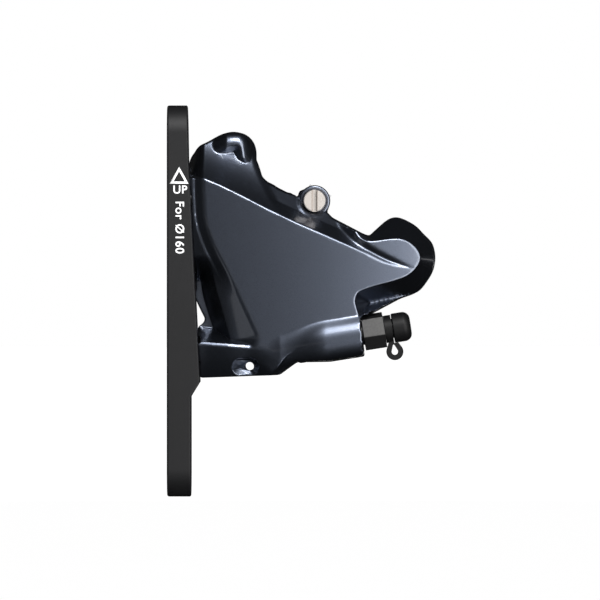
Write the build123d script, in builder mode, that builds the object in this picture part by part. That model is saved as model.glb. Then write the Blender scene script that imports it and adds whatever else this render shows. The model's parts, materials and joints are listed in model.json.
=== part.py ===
"""Flat-mount bicycle disc brake caliper on its fork adapter plate.

Millimetres. +Z runs up along the fork blade, +X points away from the fork and -Y is the outer side.
The origin is the middle of the adapter plate's face that lies on the fork.
"""

import os
from math import cos, hypot, radians, sin, tan

from build123d import *

os.makedirs("parts", exist_ok=True)

# Adapter plate
plate_width = 17.5
plate_corner_radius = 6.0
plate_edge_radius = 0.45
plate_top_thickness = 4.4
plate_foot_thickness = 5.15
wedge_angle = 2.94
wedge_thickness = 6.2
wedge_rise = 31.2
wedge_drop = 17.6
wedge_step = 3.2
plate_end_length = 7.5
fork_hole_gap = 13.0
fork_slot_width = 5.5
fork_slot_length = 9.0

# Caliper bolts, from the plate's fork side into the housing's feet
seat_hole_spacing = 34.0
seat_hole_height = 22.0
caliper_bolt_radius = 2.5
caliper_bolt_head_radius = 4.25
caliper_bolt_head_height = 2.6
caliper_bolt_length = 9.6
bolt_hex_share = 0.5
bolt_hex_depth_share = 0.6
bolt_hole_clearance = 0.25
head_clearance = 0.3
head_recess_clearance = 0.3
thread_clearance = 0.05
thread_bottom_gap = 0.5

# Pistons' middle and the rotor, which place the pads and the bridges
piston_x = 25.1
piston_z = 8.5
piston_inset = 12.0
pad_angle = 27.5
rotor_offset = 14.25
rotor_edge_radius = 80.0
rotor_edge_gap = 1.5
rotor_side_gap = 2.2

# Housing halves
face_offset = 5.2
step_offset = 1.8
pad_bay_half_depth = 5.3
back_wall = 3.25
roof_wall = 0.9
roof_band_depth = 5.6
ridge_drop = 5.5
ridge_tilt = 2.3
scoop_radius = 7.0
scoop_start = 27.0
scoop_tip = 13.4
scoop_end = 5.0
scoop_left = 7.9
scoop_tip_share = 0.8
band_finish = 15.0
groove_depth = 1.5
shelf_depth = 10.75
edge_round = 3.4
small_round = 0.6
foot_half_width = 5.5
upper_foot_offset = 4.4
cut_overrun = 1.0

# Horn, the upper bridge beside the fork
horn_x = 15.0
horn_z = 32.55
horn_radius = 4.3
horn_tail_x = 9.1
horn_tail_z = 31.0
horn_tail_radius = 3.65
horn_thickness = 5.2

# Nose, the lower bridge
nose_gap = 11.7
nose_z = 9.4
nose_radius = 8.0
nose_face_radius = 4.75
nose_face_shift = 0.45
nose_thickness = 9.75
nose_slope_depth = 10.2

# Body bolts that join the halves
body_bolt_radius = 2.5
body_bolt_head_radius = 4.0
body_bolt_head_height = 2.8
horn_bolt_length = 13.5
nose_bolt_length = 20.0
body_bolt_hex_share = 0.55
nose_bolt_shift = 1.2

# Oil crossover and its ring
crossover_x = 9.3
crossover_z = 31.9
oil_hole_radius = 0.75
oil_entry_angle = 33.0
ring_inner_radius = 1.3
ring_outer_radius = 2.3
ring_height = 1.0
ring_squeeze_clearance = 0.04

# Pistons and seals
piston_radius = 11.0
piston_length = 9.2
piston_wall = 2.4
piston_floor = 3.0
piston_clearance = 0.05
chamber_gap = 0.6
seal_thickness = 1.65
seal_width = 2.2
seal_depth = 2.9
seal_groove_clearance = 0.05

# Pads
pad_gap = 2.6
lining_thickness = 2.0
plate_thickness = 1.9
pad_width = 26.4
pad_low = 9.5
pad_high = 12.2
pad_side_clearance = 0.15
lining_inset = 1.0
lining_top_inset = 0.8
lining_chamfer = 0.3
pad_round = 2.0
ear_radius = 3.3
ear_neck_width = 11.0

# Pad axle and clip
pad_axle_gap = 0.3
pad_axle_radius = 2.0
pad_axle_head_radius = 2.4
pad_axle_head_height = 2.8
pad_axle_head_chamfer = 0.15
pad_axle_tail_chamfer = 0.45
pad_axle_slot = 1.1
pad_axle_slot_depth = 1.0
pad_axle_tip = 1.4
pad_hole_clearance = 0.12
axle_boss_radius = 3.4
axle_boss_length = 8.0
axle_recess_radius = 3.1
axle_head_recess_radius = 2.75
inner_boss_depth = 6.0
clip_thickness = 0.6
clip_width = 1.1
clip_mouth = 1.4
clip_groove_depth = 0.35
clip_clearance = 0.04
clip_seat_gap = 0.1

# Pad spring
spring_thickness = 0.3
spring_width = 5.2
spring_top = 2.9
spring_arm_width = 0.9
spring_arm_drop = 8.0
spring_clearance = 0.05

# Bleed barrel, nipple, cap and strap
bleed_tilt = 9.0
barrel_radius = 4.4
barrel_length = 14.5
barrel_y = -0.45
nipple_thread_radius = 2.6
nipple_thread_length = 8.0
nipple_clearance = 0.06
nipple_seat_gap = 0.3
nipple_tip_chamfer = 1.2
hex_across_flats = 7.0
hex_length = 4.7
hex_turn = 15.0
neck_radius = 2.1
neck_length = 4.5
barb_radius = 2.45
barb_length = 1.6
nipple_bore_radius = 0.8
ring_length = 1.6
strap_ring_radius = 3.0
strap_ring_clearance = 0.06
cap_gap = 0.15
cap_radius = 3.2
cap_length = 3.95
cap_depth = 3.0
cap_dome_round = 1.6
cap_bore_clearance = 0.3
strap_thickness = 1.15
strap_width = 2.2
strap_back = 0.26
strap_sink = 0.6
strap_drop = 2.65
strap_shift = 0.5
strap_loop_radius = 1.85
strap_root_gap = 0.2

# Hose port on the inner half
port_x = 13.2
port_top = 28.0
port_length = 15.0
port_boss_radius = 5.3
port_thread_radius = 4.0
port_thread_depth = 9.0
port_face_clearance = 12.0

# Pin hole in the lower foot
pin_x = 17.9
pin_z = -14.2
pin_radius = 0.85
pin_slot_shift = 0.85
pin_slot_length = 3.4
pin_slot_width = 1.65
pin_slot_depth = 1.6
pin_recess_length = 5.6
pin_recess_width = 3.4
pin_recess_depth = 0.6

# Outlines, as shares of the reach from the fork's face to the middle of the nose
barrel_end_shares = (0.846, -0.140)
gap_shares = [(0.144, -0.044), (0.162, -0.078), (0.154, -0.096)]
gap_top_share = 0.024
gap_bottom_share = -0.114
foot_bottom_share = -0.335
shoulder_share = 0.590
roof_start_share = 0.167
base_top_shares = [(0.386, 0.620), (0.396, 0.596), (0.412, 0.548), (0.432, 0.520), (0.470, 0.496)]
base_side_shares = [
    (0.896, -0.054), (0.842, -0.078), (0.860, -0.242), (0.708, -0.266), (0.564, -0.268), (0.490, -0.322),
]
face_left_shares = [(0.160, 0.528), (0.164, 0.342), (0.196, 0.256)]
face_bevel_shares = [(0.368, -0.104), (0.390, -0.150), (0.386, -0.180), (0.360, -0.194)]
face_barrel_shares = [
    (0.360, -0.320), (0.470, -0.320), (0.482, -0.282), (0.520, -0.238), (0.558, -0.180), (0.602, -0.130),
    (0.660, -0.095), (0.736, -0.072),
]
face_right_shares = [(0.830, -0.060), (0.820, -0.022), (0.814, 0.004), (0.824, 0.030), (0.844, 0.046)]
nose_top_shares = [(0.960, 0.266), (0.894, 0.258), (0.816, 0.262), (0.770, 0.278), (0.730, 0.262)]
bevel_front_shares = [(0.196, 0.256), (0.368, -0.104), (0.388, -0.150), (0.384, -0.176)]
bevel_back_shares = [(0.192, 0.240), (0.250, -0.110), (0.264, -0.150), (0.270, -0.190)]
bevel_root_shares = [(0.460, -0.160), (0.300, 0.250)]
upper_foot_shares = [(0.158, 0.580), (0.158, 0.342), (0.190, 0.252), (0.230, 0.180), (0.160, 0.130)]
upper_foot_low_share = 0.080
under_front_shares = [(1.018, 0.085), (0.844, 0.046), (0.760, 0.046), (0.760, 0.180), (1.004, 0.178)]
under_back_shares = [(1.068, 0.038), (0.896, -0.054), (0.760, -0.054), (0.760, 0.180), (1.004, 0.178)]
groove_low_shares = [(0.760, 0.244), (0.850, 0.206), (0.936, 0.168), (1.030, 0.149)]
groove_high_shares = [(0.800, 0.270), (0.880, 0.236), (0.956, 0.194), (1.028, 0.158)]
groove_floor_shares = (0.15, 0.45)
foot_top_share = -0.182
foot_right_shares = [(0.450, -0.182), (0.482, -0.275), (0.490, -0.322)]
inner_outline_shares = [
    (0.168, 0.580), (0.388, 0.590), (0.412, 0.548), (0.470, 0.496), (0.552, 0.458), (0.724, 0.358),
    (0.888, 0.284), (0.940, 0.200), (0.890, 0.010), (0.720, -0.096), (0.520, -0.138), (0.330, -0.090),
    (0.212, 0.080), (0.168, 0.320),
]

# Worked out from the sizes above
up_share, across_share = cos(radians(pad_angle)), sin(radians(pad_angle))
axle_x = piston_x - (rotor_edge_radius - piston_inset) * across_share
axle_z = piston_z - (rotor_edge_radius - piston_inset) * up_share
bore_radius = piston_radius + piston_clearance
seal_outer_radius = bore_radius + seal_thickness
ear_rise = seal_outer_radius + pad_axle_gap + pad_axle_radius
pad_axle_x = piston_x + ear_rise * across_share
pad_axle_z = piston_z + ear_rise * up_share
nose_reach = piston_x + pad_width / 2 + nose_gap
nose_x = nose_reach + nose_face_shift
seat_slope = tan(radians(wedge_angle))
lower_hole_height = seat_hole_height - seat_hole_spacing
fork_hole_spacing = (seat_hole_height + fork_hole_gap) * 2
plate_length = fork_hole_spacing + plate_end_length * 2
outer_wall = rotor_offset - pad_bay_half_depth
inner_wall = rotor_offset + pad_bay_half_depth
outer_stop = rotor_offset - rotor_side_gap
inner_stop = rotor_offset + rotor_side_gap
bridge_radius = rotor_edge_radius + rotor_edge_gap
piston_rest = rotor_offset - pad_gap / 2 - lining_thickness - plate_thickness
outer_chamber_end = piston_rest - piston_length - chamber_gap
inner_chamber_end = rotor_offset * 2 - outer_chamber_end
housing_back = inner_chamber_end + back_wall
roof_rise = seal_outer_radius + roof_wall
ridge_rise = roof_rise - ridge_drop
port_offset = housing_back - port_boss_radius
inner_shelf = rotor_offset + shelf_depth
axle_boss_front = outer_wall - axle_boss_length
pad_axle_head_front = axle_boss_front - pad_axle_head_height
clip_back = inner_wall + inner_boss_depth + clip_seat_gap + clip_thickness
pad_axle_end = clip_back + pad_axle_tip
outer_leg_back = piston_rest + plate_thickness + spring_clearance + spring_thickness
inner_leg_back = rotor_offset * 2 - piston_rest - plate_thickness - spring_clearance
lining_width = pad_width - lining_inset * 2
lining_low = pad_low - lining_inset
lining_high = pad_high - lining_top_inset
spring_shelf = lining_high + spring_clearance * 2
spring_reach = lining_width / 2 + spring_clearance * 2 + spring_arm_width
hex_end = nipple_seat_gap + hex_length
ring_end = hex_end + strap_ring_clearance + ring_length
cap_start = ring_end + cap_gap
barrel_end_x, barrel_end_z = (share * nose_reach for share in barrel_end_shares)
body_bolt_places = (
    (horn_x, horn_z, horn_thickness, horn_bolt_length),
    (nose_reach + nose_bolt_shift, nose_z + nose_bolt_shift, nose_thickness, nose_bolt_length),
)


def seat_x(height):
    """X of the plate's wedge face at a height."""
    return wedge_thickness - height * seat_slope


def spots(shares):
    """Points of an outline from their shares of the reach."""
    return [(x * nose_reach, z * nose_reach) for x, z in shares]


def at_share(share):
    """A height or a distance from its share of the reach."""
    return share * nose_reach


def side(depth):
    """Plane seen from the outer side, at a depth along +Y, that extrudes towards -Y."""
    return Plane(origin=(0, depth, 0), x_dir=(1, 0, 0), z_dir=(0, -1, 0))


def side_at(x, depth, z):
    """The side plane with its origin moved to a point."""
    return Plane(origin=(x, depth, z), x_dir=(1, 0, 0), z_dir=(0, -1, 0))


def pad_side(depth):
    """Side plane centred on the piston, its x along the rotor's edge and its y away from the axle."""
    return Plane(
        origin=(piston_x, depth, piston_z),
        x_dir=(up_share, 0, -across_share),
        z_dir=(0, -1, 0),
    )


def pad_point(along, out, depth=0.0):
    """A point in the part's frame from its place along the rotor's edge and away from the piston."""
    x = piston_x + along * up_share + out * across_share
    z = piston_z - along * across_share + out * up_share
    return (x, depth, z)


def ridge_out(along):
    """How far the ridge stands from the piston's middle, at a place along the rotor's edge."""
    return ridge_rise + along * tan(radians(ridge_tilt))


def seat_plane(height):
    """Plane on the wedge face at a height, facing away from the fork."""
    return Plane(
        origin=(seat_x(height), 0, height),
        x_dir=(0, 1, 0),
        z_dir=(cos(radians(wedge_angle)), 0, sin(radians(wedge_angle))),
    )


def bleed_plane(along, depth=barrel_y):
    """Plane across the bleed nipple's axis, at a distance out of the barrel's end."""
    run, rise = cos(radians(bleed_tilt)), sin(radians(bleed_tilt))
    return Plane(
        origin=(barrel_end_x + along * run, depth, barrel_end_z + along * rise),
        x_dir=(0, 1, 0),
        z_dir=(run, 0, rise),
    )


def ridge_plane(along):
    """Plane across the ridge, its x along +Y and its y away from the wheel's axle."""
    here = pad_point(along, ridge_out(along))
    there = pad_point(along + nose_reach, ridge_out(along + nose_reach))
    return Plane(origin=here, x_dir=(0, 1, 0), z_dir=(there[0] - here[0], 0, there[2] - here[2]))


def flat_point(along, out):
    """The side view's two coordinates of a point given along the rotor's edge and away from the piston."""
    x, depth, z = pad_point(along, out)
    return (x, z)


def bolt_reach(height):
    """How far a caliper bolt reaches past the plate's wedge face."""
    return caliper_bolt_length + caliper_bolt_head_height - seat_x(height)


def groove_points(low_share, high_share):
    """The groove's outline, with both edges moved by shares of its width."""
    pairs = list(zip(spots(groove_low_shares), spots(groove_high_shares)))
    low = [(a + (c - a) * low_share, b + (d - b) * low_share) for (a, b), (c, d) in pairs]
    high = [(a + (c - a) * high_share, b + (d - b) * high_share) for (a, b), (c, d) in pairs]
    return low + high[::-1]


def strap_plane():
    """Side plane at the root of the cap strap's loop."""
    root = bleed_plane(ring_end - strap_back).origin
    below = strap_ring_radius - strap_sink
    tilt = radians(bleed_tilt)
    return side_at(root.X + below * sin(tilt), barrel_y, root.Z - below * cos(tilt))


def drill_plane(start, end):
    """Plane at a drilling's start that looks along it."""
    way = tuple(b - a for a, b in zip(start, end))
    return Plane(origin=start, z_dir=way), hypot(*way)


def save(piece, name):
    """Label a finished piece and write its file."""
    piece.label = name
    export_step(piece, f"parts/{name}.step")


# Adapter plate
with BuildPart() as mount_bracket:
    with BuildSketch(side(plate_width / 2)):
        with BuildLine():
            Polyline(
                (0, -plate_length / 2),
                (plate_foot_thickness, -plate_length / 2),
                (plate_foot_thickness, -wedge_drop - wedge_step),
                (seat_x(-wedge_drop), -wedge_drop),
                (seat_x(wedge_rise), wedge_rise),
                (plate_top_thickness, plate_length / 2),
                (0, plate_length / 2),
                close=True,
            )
        make_face()
    extrude(amount=plate_width)
    fillet(mount_bracket.edges().filter_by(Axis.X), plate_corner_radius)
    outer_edges = mount_bracket.faces().sort_by(Axis.X)[0].edges()
    fillet(outer_edges, plate_edge_radius)
    with BuildSketch(Plane.YZ):
        with Locations((0, fork_hole_spacing / 2), (0, -fork_hole_spacing / 2)):
            SlotOverall(fork_slot_length, fork_slot_width)
    extrude(amount=wedge_thickness + cut_overrun, mode=Mode.SUBTRACT)
    for bolt_height in (seat_hole_height, lower_hole_height):
        with BuildSketch(seat_plane(bolt_height)):
            Circle(caliper_bolt_radius + bolt_hole_clearance)
        extrude(amount=-seat_x(bolt_height) - cut_overrun, mode=Mode.SUBTRACT)
        with BuildSketch(seat_plane(bolt_height).offset(-seat_x(bolt_height) + caliper_bolt_head_height)):
            Circle(caliper_bolt_head_radius + head_clearance)
        extrude(amount=-wedge_thickness, mode=Mode.SUBTRACT)
save(mount_bracket.part, "mount_bracket")

# Caliper bolts
with BuildPart() as bracket_bolts:
    for bolt_height in (seat_hole_height, lower_hole_height):
        head_base = seat_plane(bolt_height).offset(-seat_x(bolt_height) + caliper_bolt_head_height)
        head_top = head_base.offset(-caliper_bolt_head_height + head_recess_clearance)
        with BuildSketch(head_base):
            Circle(caliper_bolt_head_radius)
        extrude(amount=-caliper_bolt_head_height + head_recess_clearance)
        with BuildSketch(head_base):
            Circle(caliper_bolt_radius)
        extrude(amount=caliper_bolt_length)
        with BuildSketch(head_top):
            RegularPolygon(caliper_bolt_radius * 2 * bolt_hex_share, 6)
        extrude(amount=caliper_bolt_head_height * bolt_hex_depth_share, mode=Mode.SUBTRACT)
save(bracket_bolts.part, "bracket_bolts")


def add_horn(front, back, front_round):
    """The horn between two depths, with the edge of its front rounded."""
    with BuildPart() as horn:
        with BuildSketch(side(back)):
            with Locations((horn_x, horn_z)):
                Circle(horn_radius)
            with Locations((horn_tail_x, horn_tail_z)):
                Circle(horn_tail_radius)
            with Locations((horn_x, horn_z - horn_radius - horn_tail_radius)):
                Circle(horn_radius)
            with Locations((horn_tail_x, horn_z - horn_radius - horn_tail_radius)):
                Circle(horn_tail_radius)
            make_hull()
        extrude(amount=back - front)
        fillet(horn.faces().sort_by(Axis.Y)[0 if front < rotor_offset else -1].edges(), front_round)
    return horn.part


def add_rotor_clearance():
    """The space that the rotor's edge turns in."""
    with BuildPart() as space:
        with BuildSketch(side_at(axle_x, inner_stop, axle_z)):
            Circle(bridge_radius)
        extrude(amount=rotor_side_gap * 2)
    return space.part


def add_pad_bay(front, back):
    """The bay that a pad slides in, open towards the axle and away from it."""
    with BuildPart() as bay:
        with BuildSketch(pad_side(back)):
            Rectangle(pad_width + pad_side_clearance * 2, bridge_radius)
        extrude(amount=back - front)
    return bay.part


def add_drilling(start, end, radius=oil_hole_radius):
    """A straight drilling between two points."""
    with BuildPart() as drilling:
        plane, length = drill_plane(start, end)
        with BuildSketch(plane):
            Circle(radius)
        extrude(amount=length)
    return drilling.part


def add_scoop():
    """The concave rise from the ridge to the horn."""
    with BuildPart() as scoop:
        with BuildSketch(ridge_plane(-scoop_start)):
            with BuildLine():
                rise = CenterArc((-face_offset, scoop_radius), scoop_radius, -90, 90)
                Polyline(
                    rise @ 1,
                    (step_offset + cut_overrun, scoop_radius),
                    (step_offset + cut_overrun, -cut_overrun),
                    (-face_offset, -cut_overrun),
                    rise @ 0,
                )
            make_face()
        extrude(amount=scoop_start - scoop_end)
        split(bisect_by=Plane(origin=(scoop_left, 0, 0), z_dir=(1, 0, 0)), keep=Keep.TOP)
    return scoop.part


rotor_space = add_rotor_clearance()
outer_horn = add_horn(step_offset, rotor_offset, edge_round)
inner_horn = add_horn(rotor_offset, rotor_offset + horn_thickness, small_round)
scoop_fill = add_scoop()
outer_bay = add_pad_bay(outer_wall, outer_stop + cut_overrun)
inner_bay = add_pad_bay(inner_stop - cut_overrun, inner_wall)
chamber_reach = piston_radius - oil_hole_radius
chamber_top = pad_point(
    -chamber_reach * sin(radians(oil_entry_angle)),
    chamber_reach * cos(radians(oil_entry_angle)),
    outer_chamber_end + oil_hole_radius,
)
outer_oil = add_drilling((crossover_x, outer_wall, crossover_z), chamber_top)
bleed_foot = tuple(bleed_plane(-nipple_thread_length - nipple_seat_gap).origin)
bleed_way = chamber_reach / hypot(bleed_foot[0] - piston_x, bleed_foot[2] - piston_z)
bleed_end = (
    piston_x + (bleed_foot[0] - piston_x) * bleed_way,
    outer_chamber_end + oil_hole_radius,
    piston_z + (bleed_foot[2] - piston_z) * bleed_way,
)
bleed_oil = add_drilling(bleed_foot, bleed_end)
port_foot = (port_x, port_offset, port_top - port_thread_depth)
inner_oil = add_drilling((crossover_x, rotor_offset + horn_thickness / 2, crossover_z), port_foot)
port_oil = add_drilling(
    port_foot,
    pad_point(-chamber_reach, 0, inner_chamber_end - oil_hole_radius),
)

# Outer half
with BuildPart() as outer_body:
    with BuildSketch(side(outer_stop)):
        with BuildLine():
            Polyline(
                (seat_x(at_share(foot_bottom_share)), at_share(foot_bottom_share)),
                (seat_x(at_share(gap_bottom_share)), at_share(gap_bottom_share)),
                *reversed(spots(gap_shares)),
                (seat_x(at_share(gap_top_share)), at_share(gap_top_share)),
                (seat_x(at_share(shoulder_share)), at_share(shoulder_share)),
                *spots(base_top_shares),
                flat_point(-pad_width * roof_start_share, roof_rise),
                flat_point(pad_width / 2, roof_rise),
                (nose_reach, nose_z),
                *spots(base_side_shares),
                close=True,
            )
        make_face()
    extrude(amount=outer_stop - step_offset)
    # Front slab under the ridge
    with BuildSketch(side(step_offset + cut_overrun)):
        with BuildLine():
            Polyline(
                *spots(face_left_shares),
                *spots(face_bevel_shares),
                *spots(face_barrel_shares),
                *spots(face_right_shares),
                (nose_reach, nose_z - nose_face_radius),
                *spots(nose_top_shares),
                close=True,
            )
        make_face()
    extrude(amount=step_offset + cut_overrun + face_offset)
    # Bevel at the slab's left
    with BuildSketch(side(step_offset + cut_overrun)):
        Polygon(*spots(bevel_back_shares), *spots(bevel_root_shares), align=None)
    with BuildSketch(side(-face_offset)):
        Polygon(*spots(bevel_front_shares), *spots(bevel_root_shares), align=None)
    loft(ruled=True)
    add(scoop_fill)
    # Sloping band from the ridge to the roof
    for band_start, band_end in ((-scoop_tip, -scoop_end), (-scoop_end, band_finish)):
        for along in (band_start, band_end):
            rise = roof_rise - ridge_out(along)
            foot = rise * scoop_tip_share if along == -scoop_tip else 0
            with BuildSketch(ridge_plane(along)):
                Polygon(
                    (-face_offset + foot * roof_band_depth / rise, foot),
                    (-face_offset + roof_band_depth, rise),
                    (step_offset + cut_overrun, rise),
                    (step_offset + cut_overrun, foot),
                    align=None,
                )
        loft(ruled=True)
    # Nose
    with BuildSketch(side_at(nose_reach, -face_offset, nose_z - nose_face_shift)):
        Circle(nose_face_radius)
    with BuildSketch(side_at(nose_x, nose_slope_depth - face_offset, nose_z)):
        Circle(nose_radius)
    loft(ruled=True)
    with BuildSketch(side_at(nose_x, rotor_offset, nose_z)):
        Circle(nose_radius)
    extrude(amount=rotor_offset - nose_slope_depth + face_offset)
    with BuildSketch(side(-face_offset)):
        Polygon(*spots(under_front_shares), align=None)
    with BuildSketch(side(nose_slope_depth - face_offset)):
        Polygon(*spots(under_back_shares), align=None)
    loft(ruled=True)
    with BuildSketch(side(rotor_offset)):
        Polygon(*spots(under_back_shares), align=None)
    extrude(amount=rotor_offset - nose_slope_depth + face_offset)
    # Feet
    with BuildSketch(side(step_offset + cut_overrun)):
        Polygon(
            (seat_x(at_share(foot_bottom_share)), at_share(foot_bottom_share)),
            (seat_x(at_share(foot_top_share)), at_share(foot_top_share)),
            *spots(foot_right_shares),
            align=None,
        )
    extrude(amount=step_offset + cut_overrun + foot_half_width)
    with BuildSketch(side(step_offset + cut_overrun)):
        Polygon(
            (seat_x(at_share(upper_foot_low_share)), at_share(upper_foot_low_share)),
            (seat_x(at_share(shoulder_share)), at_share(shoulder_share)),
            *spots(upper_foot_shares),
            align=None,
        )
    extrude(amount=step_offset + cut_overrun + upper_foot_offset)
    add(outer_horn)
    # Bleed barrel and the pad axle's boss
    with BuildSketch(bleed_plane(0)):
        Circle(barrel_radius)
    extrude(amount=-barrel_length)
    with BuildSketch(side_at(pad_axle_x, outer_wall, pad_axle_z)):
        Circle(axle_boss_radius)
    extrude(amount=axle_boss_length)
    # Groove that runs on from the ridge into the nose
    with BuildSketch(side(-face_offset)):
        Polygon(*groove_points(0, 1), align=None)
    with BuildSketch(side(-face_offset + groove_depth)):
        Polygon(*groove_points(*groove_floor_shares), align=None)
    loft(ruled=True, mode=Mode.SUBTRACT)
    # Room for the rotor, the pad, the piston and its seal
    add(rotor_space, mode=Mode.SUBTRACT)
    add(outer_bay, mode=Mode.SUBTRACT)
    with BuildSketch(pad_side(outer_wall + cut_overrun)):
        Circle(bore_radius)
    extrude(amount=outer_wall + cut_overrun - outer_chamber_end, mode=Mode.SUBTRACT)
    with BuildSketch(pad_side(outer_wall - seal_depth)):
        Circle(seal_outer_radius + seal_groove_clearance)
    extrude(amount=seal_width + seal_groove_clearance * 2, mode=Mode.SUBTRACT)
    # Holes
    for bolt_height in (seat_hole_height, lower_hole_height):
        with BuildSketch(seat_plane(bolt_height)):
            Circle(caliper_bolt_radius + thread_clearance)
        extrude(amount=bolt_reach(bolt_height) + thread_bottom_gap, mode=Mode.SUBTRACT)
    for x, z, thickness, length in body_bolt_places:
        with BuildSketch(side_at(x, rotor_offset + cut_overrun, z)):
            Circle(body_bolt_radius + thread_clearance)
        extrude(amount=cut_overrun + length - thickness + thread_bottom_gap, mode=Mode.SUBTRACT)
    with BuildSketch(side_at(pad_axle_x, outer_wall + cut_overrun, pad_axle_z)):
        Circle(pad_axle_radius + thread_clearance)
    extrude(amount=axle_boss_length + cut_overrun * 2, mode=Mode.SUBTRACT)
    with BuildSketch(side_at(pad_axle_x, axle_boss_front, pad_axle_z)):
        Circle(axle_head_recess_radius)
    extrude(amount=face_offset + cut_overrun, mode=Mode.SUBTRACT)
    with BuildSketch(side_at(crossover_x, rotor_offset + cut_overrun, crossover_z)):
        Circle(ring_outer_radius + ring_squeeze_clearance)
    extrude(amount=cut_overrun + ring_height + ring_squeeze_clearance, mode=Mode.SUBTRACT)
    with BuildSketch(side_at(crossover_x, rotor_offset, crossover_z)):
        Circle(oil_hole_radius)
    extrude(amount=rotor_offset - outer_wall, mode=Mode.SUBTRACT)
    add(outer_oil, mode=Mode.SUBTRACT)
    with BuildSketch(bleed_plane(cut_overrun)):
        Circle(nipple_thread_radius + nipple_clearance)
    extrude(amount=-nipple_thread_length - nipple_seat_gap - cut_overrun, mode=Mode.SUBTRACT)
    add(bleed_oil, mode=Mode.SUBTRACT)
    # Pin hole through the lower foot
    with BuildSketch(side_at(pin_x, outer_stop + cut_overrun, pin_z)):
        Circle(pin_radius)
    extrude(amount=outer_stop + face_offset + cut_overrun * 2, mode=Mode.SUBTRACT)
    with BuildSketch(side_at(pin_x - pin_slot_shift, pin_slot_depth - foot_half_width, pin_z)):
        SlotOverall(pin_slot_length, pin_slot_width)
    extrude(amount=pin_slot_depth + cut_overrun, mode=Mode.SUBTRACT)
    with BuildSketch(side_at(pin_x - pin_slot_shift, pin_recess_depth - foot_half_width, pin_z)):
        SlotOverall(pin_recess_length, pin_recess_width)
    extrude(amount=pin_recess_depth + cut_overrun, mode=Mode.SUBTRACT)
save(outer_body.part, "outer_body")

# Inner half
with BuildPart() as inner_body:
    with BuildSketch(side(inner_shelf)):
        Polygon(*spots(inner_outline_shares), align=None)
    extrude(amount=inner_shelf - inner_stop)
    with BuildSketch(pad_side(housing_back)):
        Circle(roof_rise)
    extrude(amount=housing_back - inner_wall)
    fillet(inner_body.faces().sort_by(Axis.Y)[-1].edges(), edge_round)
    with BuildSketch(side_at(nose_x, rotor_offset + nose_thickness, nose_z)):
        Circle(nose_radius)
    extrude(amount=nose_thickness)
    with BuildSketch(side(inner_shelf)):
        Polygon(*spots(under_back_shares), align=None)
    extrude(amount=inner_shelf - rotor_offset)
    add(inner_horn)
    with BuildSketch(Plane(origin=(port_x, port_offset, port_top))):
        Circle(port_boss_radius)
    extrude(amount=-port_length)
    with BuildSketch(side_at(pad_axle_x, inner_wall + inner_boss_depth, pad_axle_z)):
        Circle(axle_boss_radius)
    extrude(amount=inner_boss_depth)
    add(rotor_space, mode=Mode.SUBTRACT)
    add(inner_bay, mode=Mode.SUBTRACT)
    with BuildSketch(pad_side(inner_chamber_end)):
        Circle(bore_radius)
    extrude(amount=inner_chamber_end - inner_wall + cut_overrun, mode=Mode.SUBTRACT)
    with BuildSketch(pad_side(inner_wall + seal_depth)):
        Circle(seal_outer_radius + seal_groove_clearance)
    extrude(amount=-seal_width - seal_groove_clearance * 2, mode=Mode.SUBTRACT)
    for x, z, thickness, length in body_bolt_places:
        with BuildSketch(side_at(x, rotor_offset + thickness + cut_overrun, z)):
            Circle(body_bolt_radius + bolt_hole_clearance)
        extrude(amount=thickness + cut_overrun * 2, mode=Mode.SUBTRACT)
        with BuildSketch(side_at(x, housing_back + cut_overrun, z)):
            Circle(body_bolt_head_radius + head_clearance)
        extrude(amount=housing_back + cut_overrun - rotor_offset - thickness, mode=Mode.SUBTRACT)
    with BuildSketch(side_at(pad_axle_x, inner_wall + inner_boss_depth + cut_overrun, pad_axle_z)):
        Circle(pad_axle_radius + thread_clearance)
    extrude(amount=inner_boss_depth + cut_overrun * 2, mode=Mode.SUBTRACT)
    with BuildSketch(side_at(pad_axle_x, housing_back + cut_overrun, pad_axle_z)):
        Circle(axle_recess_radius)
    extrude(amount=housing_back + cut_overrun - inner_wall - inner_boss_depth, mode=Mode.SUBTRACT)
    with BuildSketch(Plane(origin=(port_x, port_offset, port_top))):
        Circle(port_thread_radius)
    extrude(amount=-port_thread_depth, mode=Mode.SUBTRACT)
    with BuildSketch(Plane(origin=(port_x, port_offset, port_top))):
        Circle(port_boss_radius)
    extrude(amount=port_face_clearance, mode=Mode.SUBTRACT)
    add(inner_oil, mode=Mode.SUBTRACT)
    add(port_oil, mode=Mode.SUBTRACT)
    with BuildSketch(side_at(crossover_x, rotor_offset + horn_thickness / 2, crossover_z)):
        Circle(oil_hole_radius)
    extrude(amount=horn_thickness, mode=Mode.SUBTRACT)
save(inner_body.part, "inner_body")

# Body bolts
with BuildPart() as body_bolts:
    for x, z, thickness, length in body_bolt_places:
        head_seat = rotor_offset + thickness
        with BuildSketch(side_at(x, head_seat, z)):
            Circle(body_bolt_radius)
        extrude(amount=length)
        with BuildSketch(side_at(x, head_seat, z)):
            Circle(body_bolt_head_radius)
        extrude(amount=-body_bolt_head_height)
        with BuildSketch(side_at(x, head_seat + body_bolt_head_height, z)):
            RegularPolygon(body_bolt_head_radius * body_bolt_hex_share, 6)
        extrude(amount=body_bolt_head_height * bolt_hex_depth_share, mode=Mode.SUBTRACT)
save(body_bolts.part, "body_bolts")

# Ring that seals the oil crossover
with BuildPart() as crossover_seal:
    with BuildSketch(side_at(crossover_x, rotor_offset, crossover_z)):
        Circle(ring_outer_radius)
        Circle(ring_inner_radius, mode=Mode.SUBTRACT)
    extrude(amount=ring_height)
save(crossover_seal.part, "crossover_seal")


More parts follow.
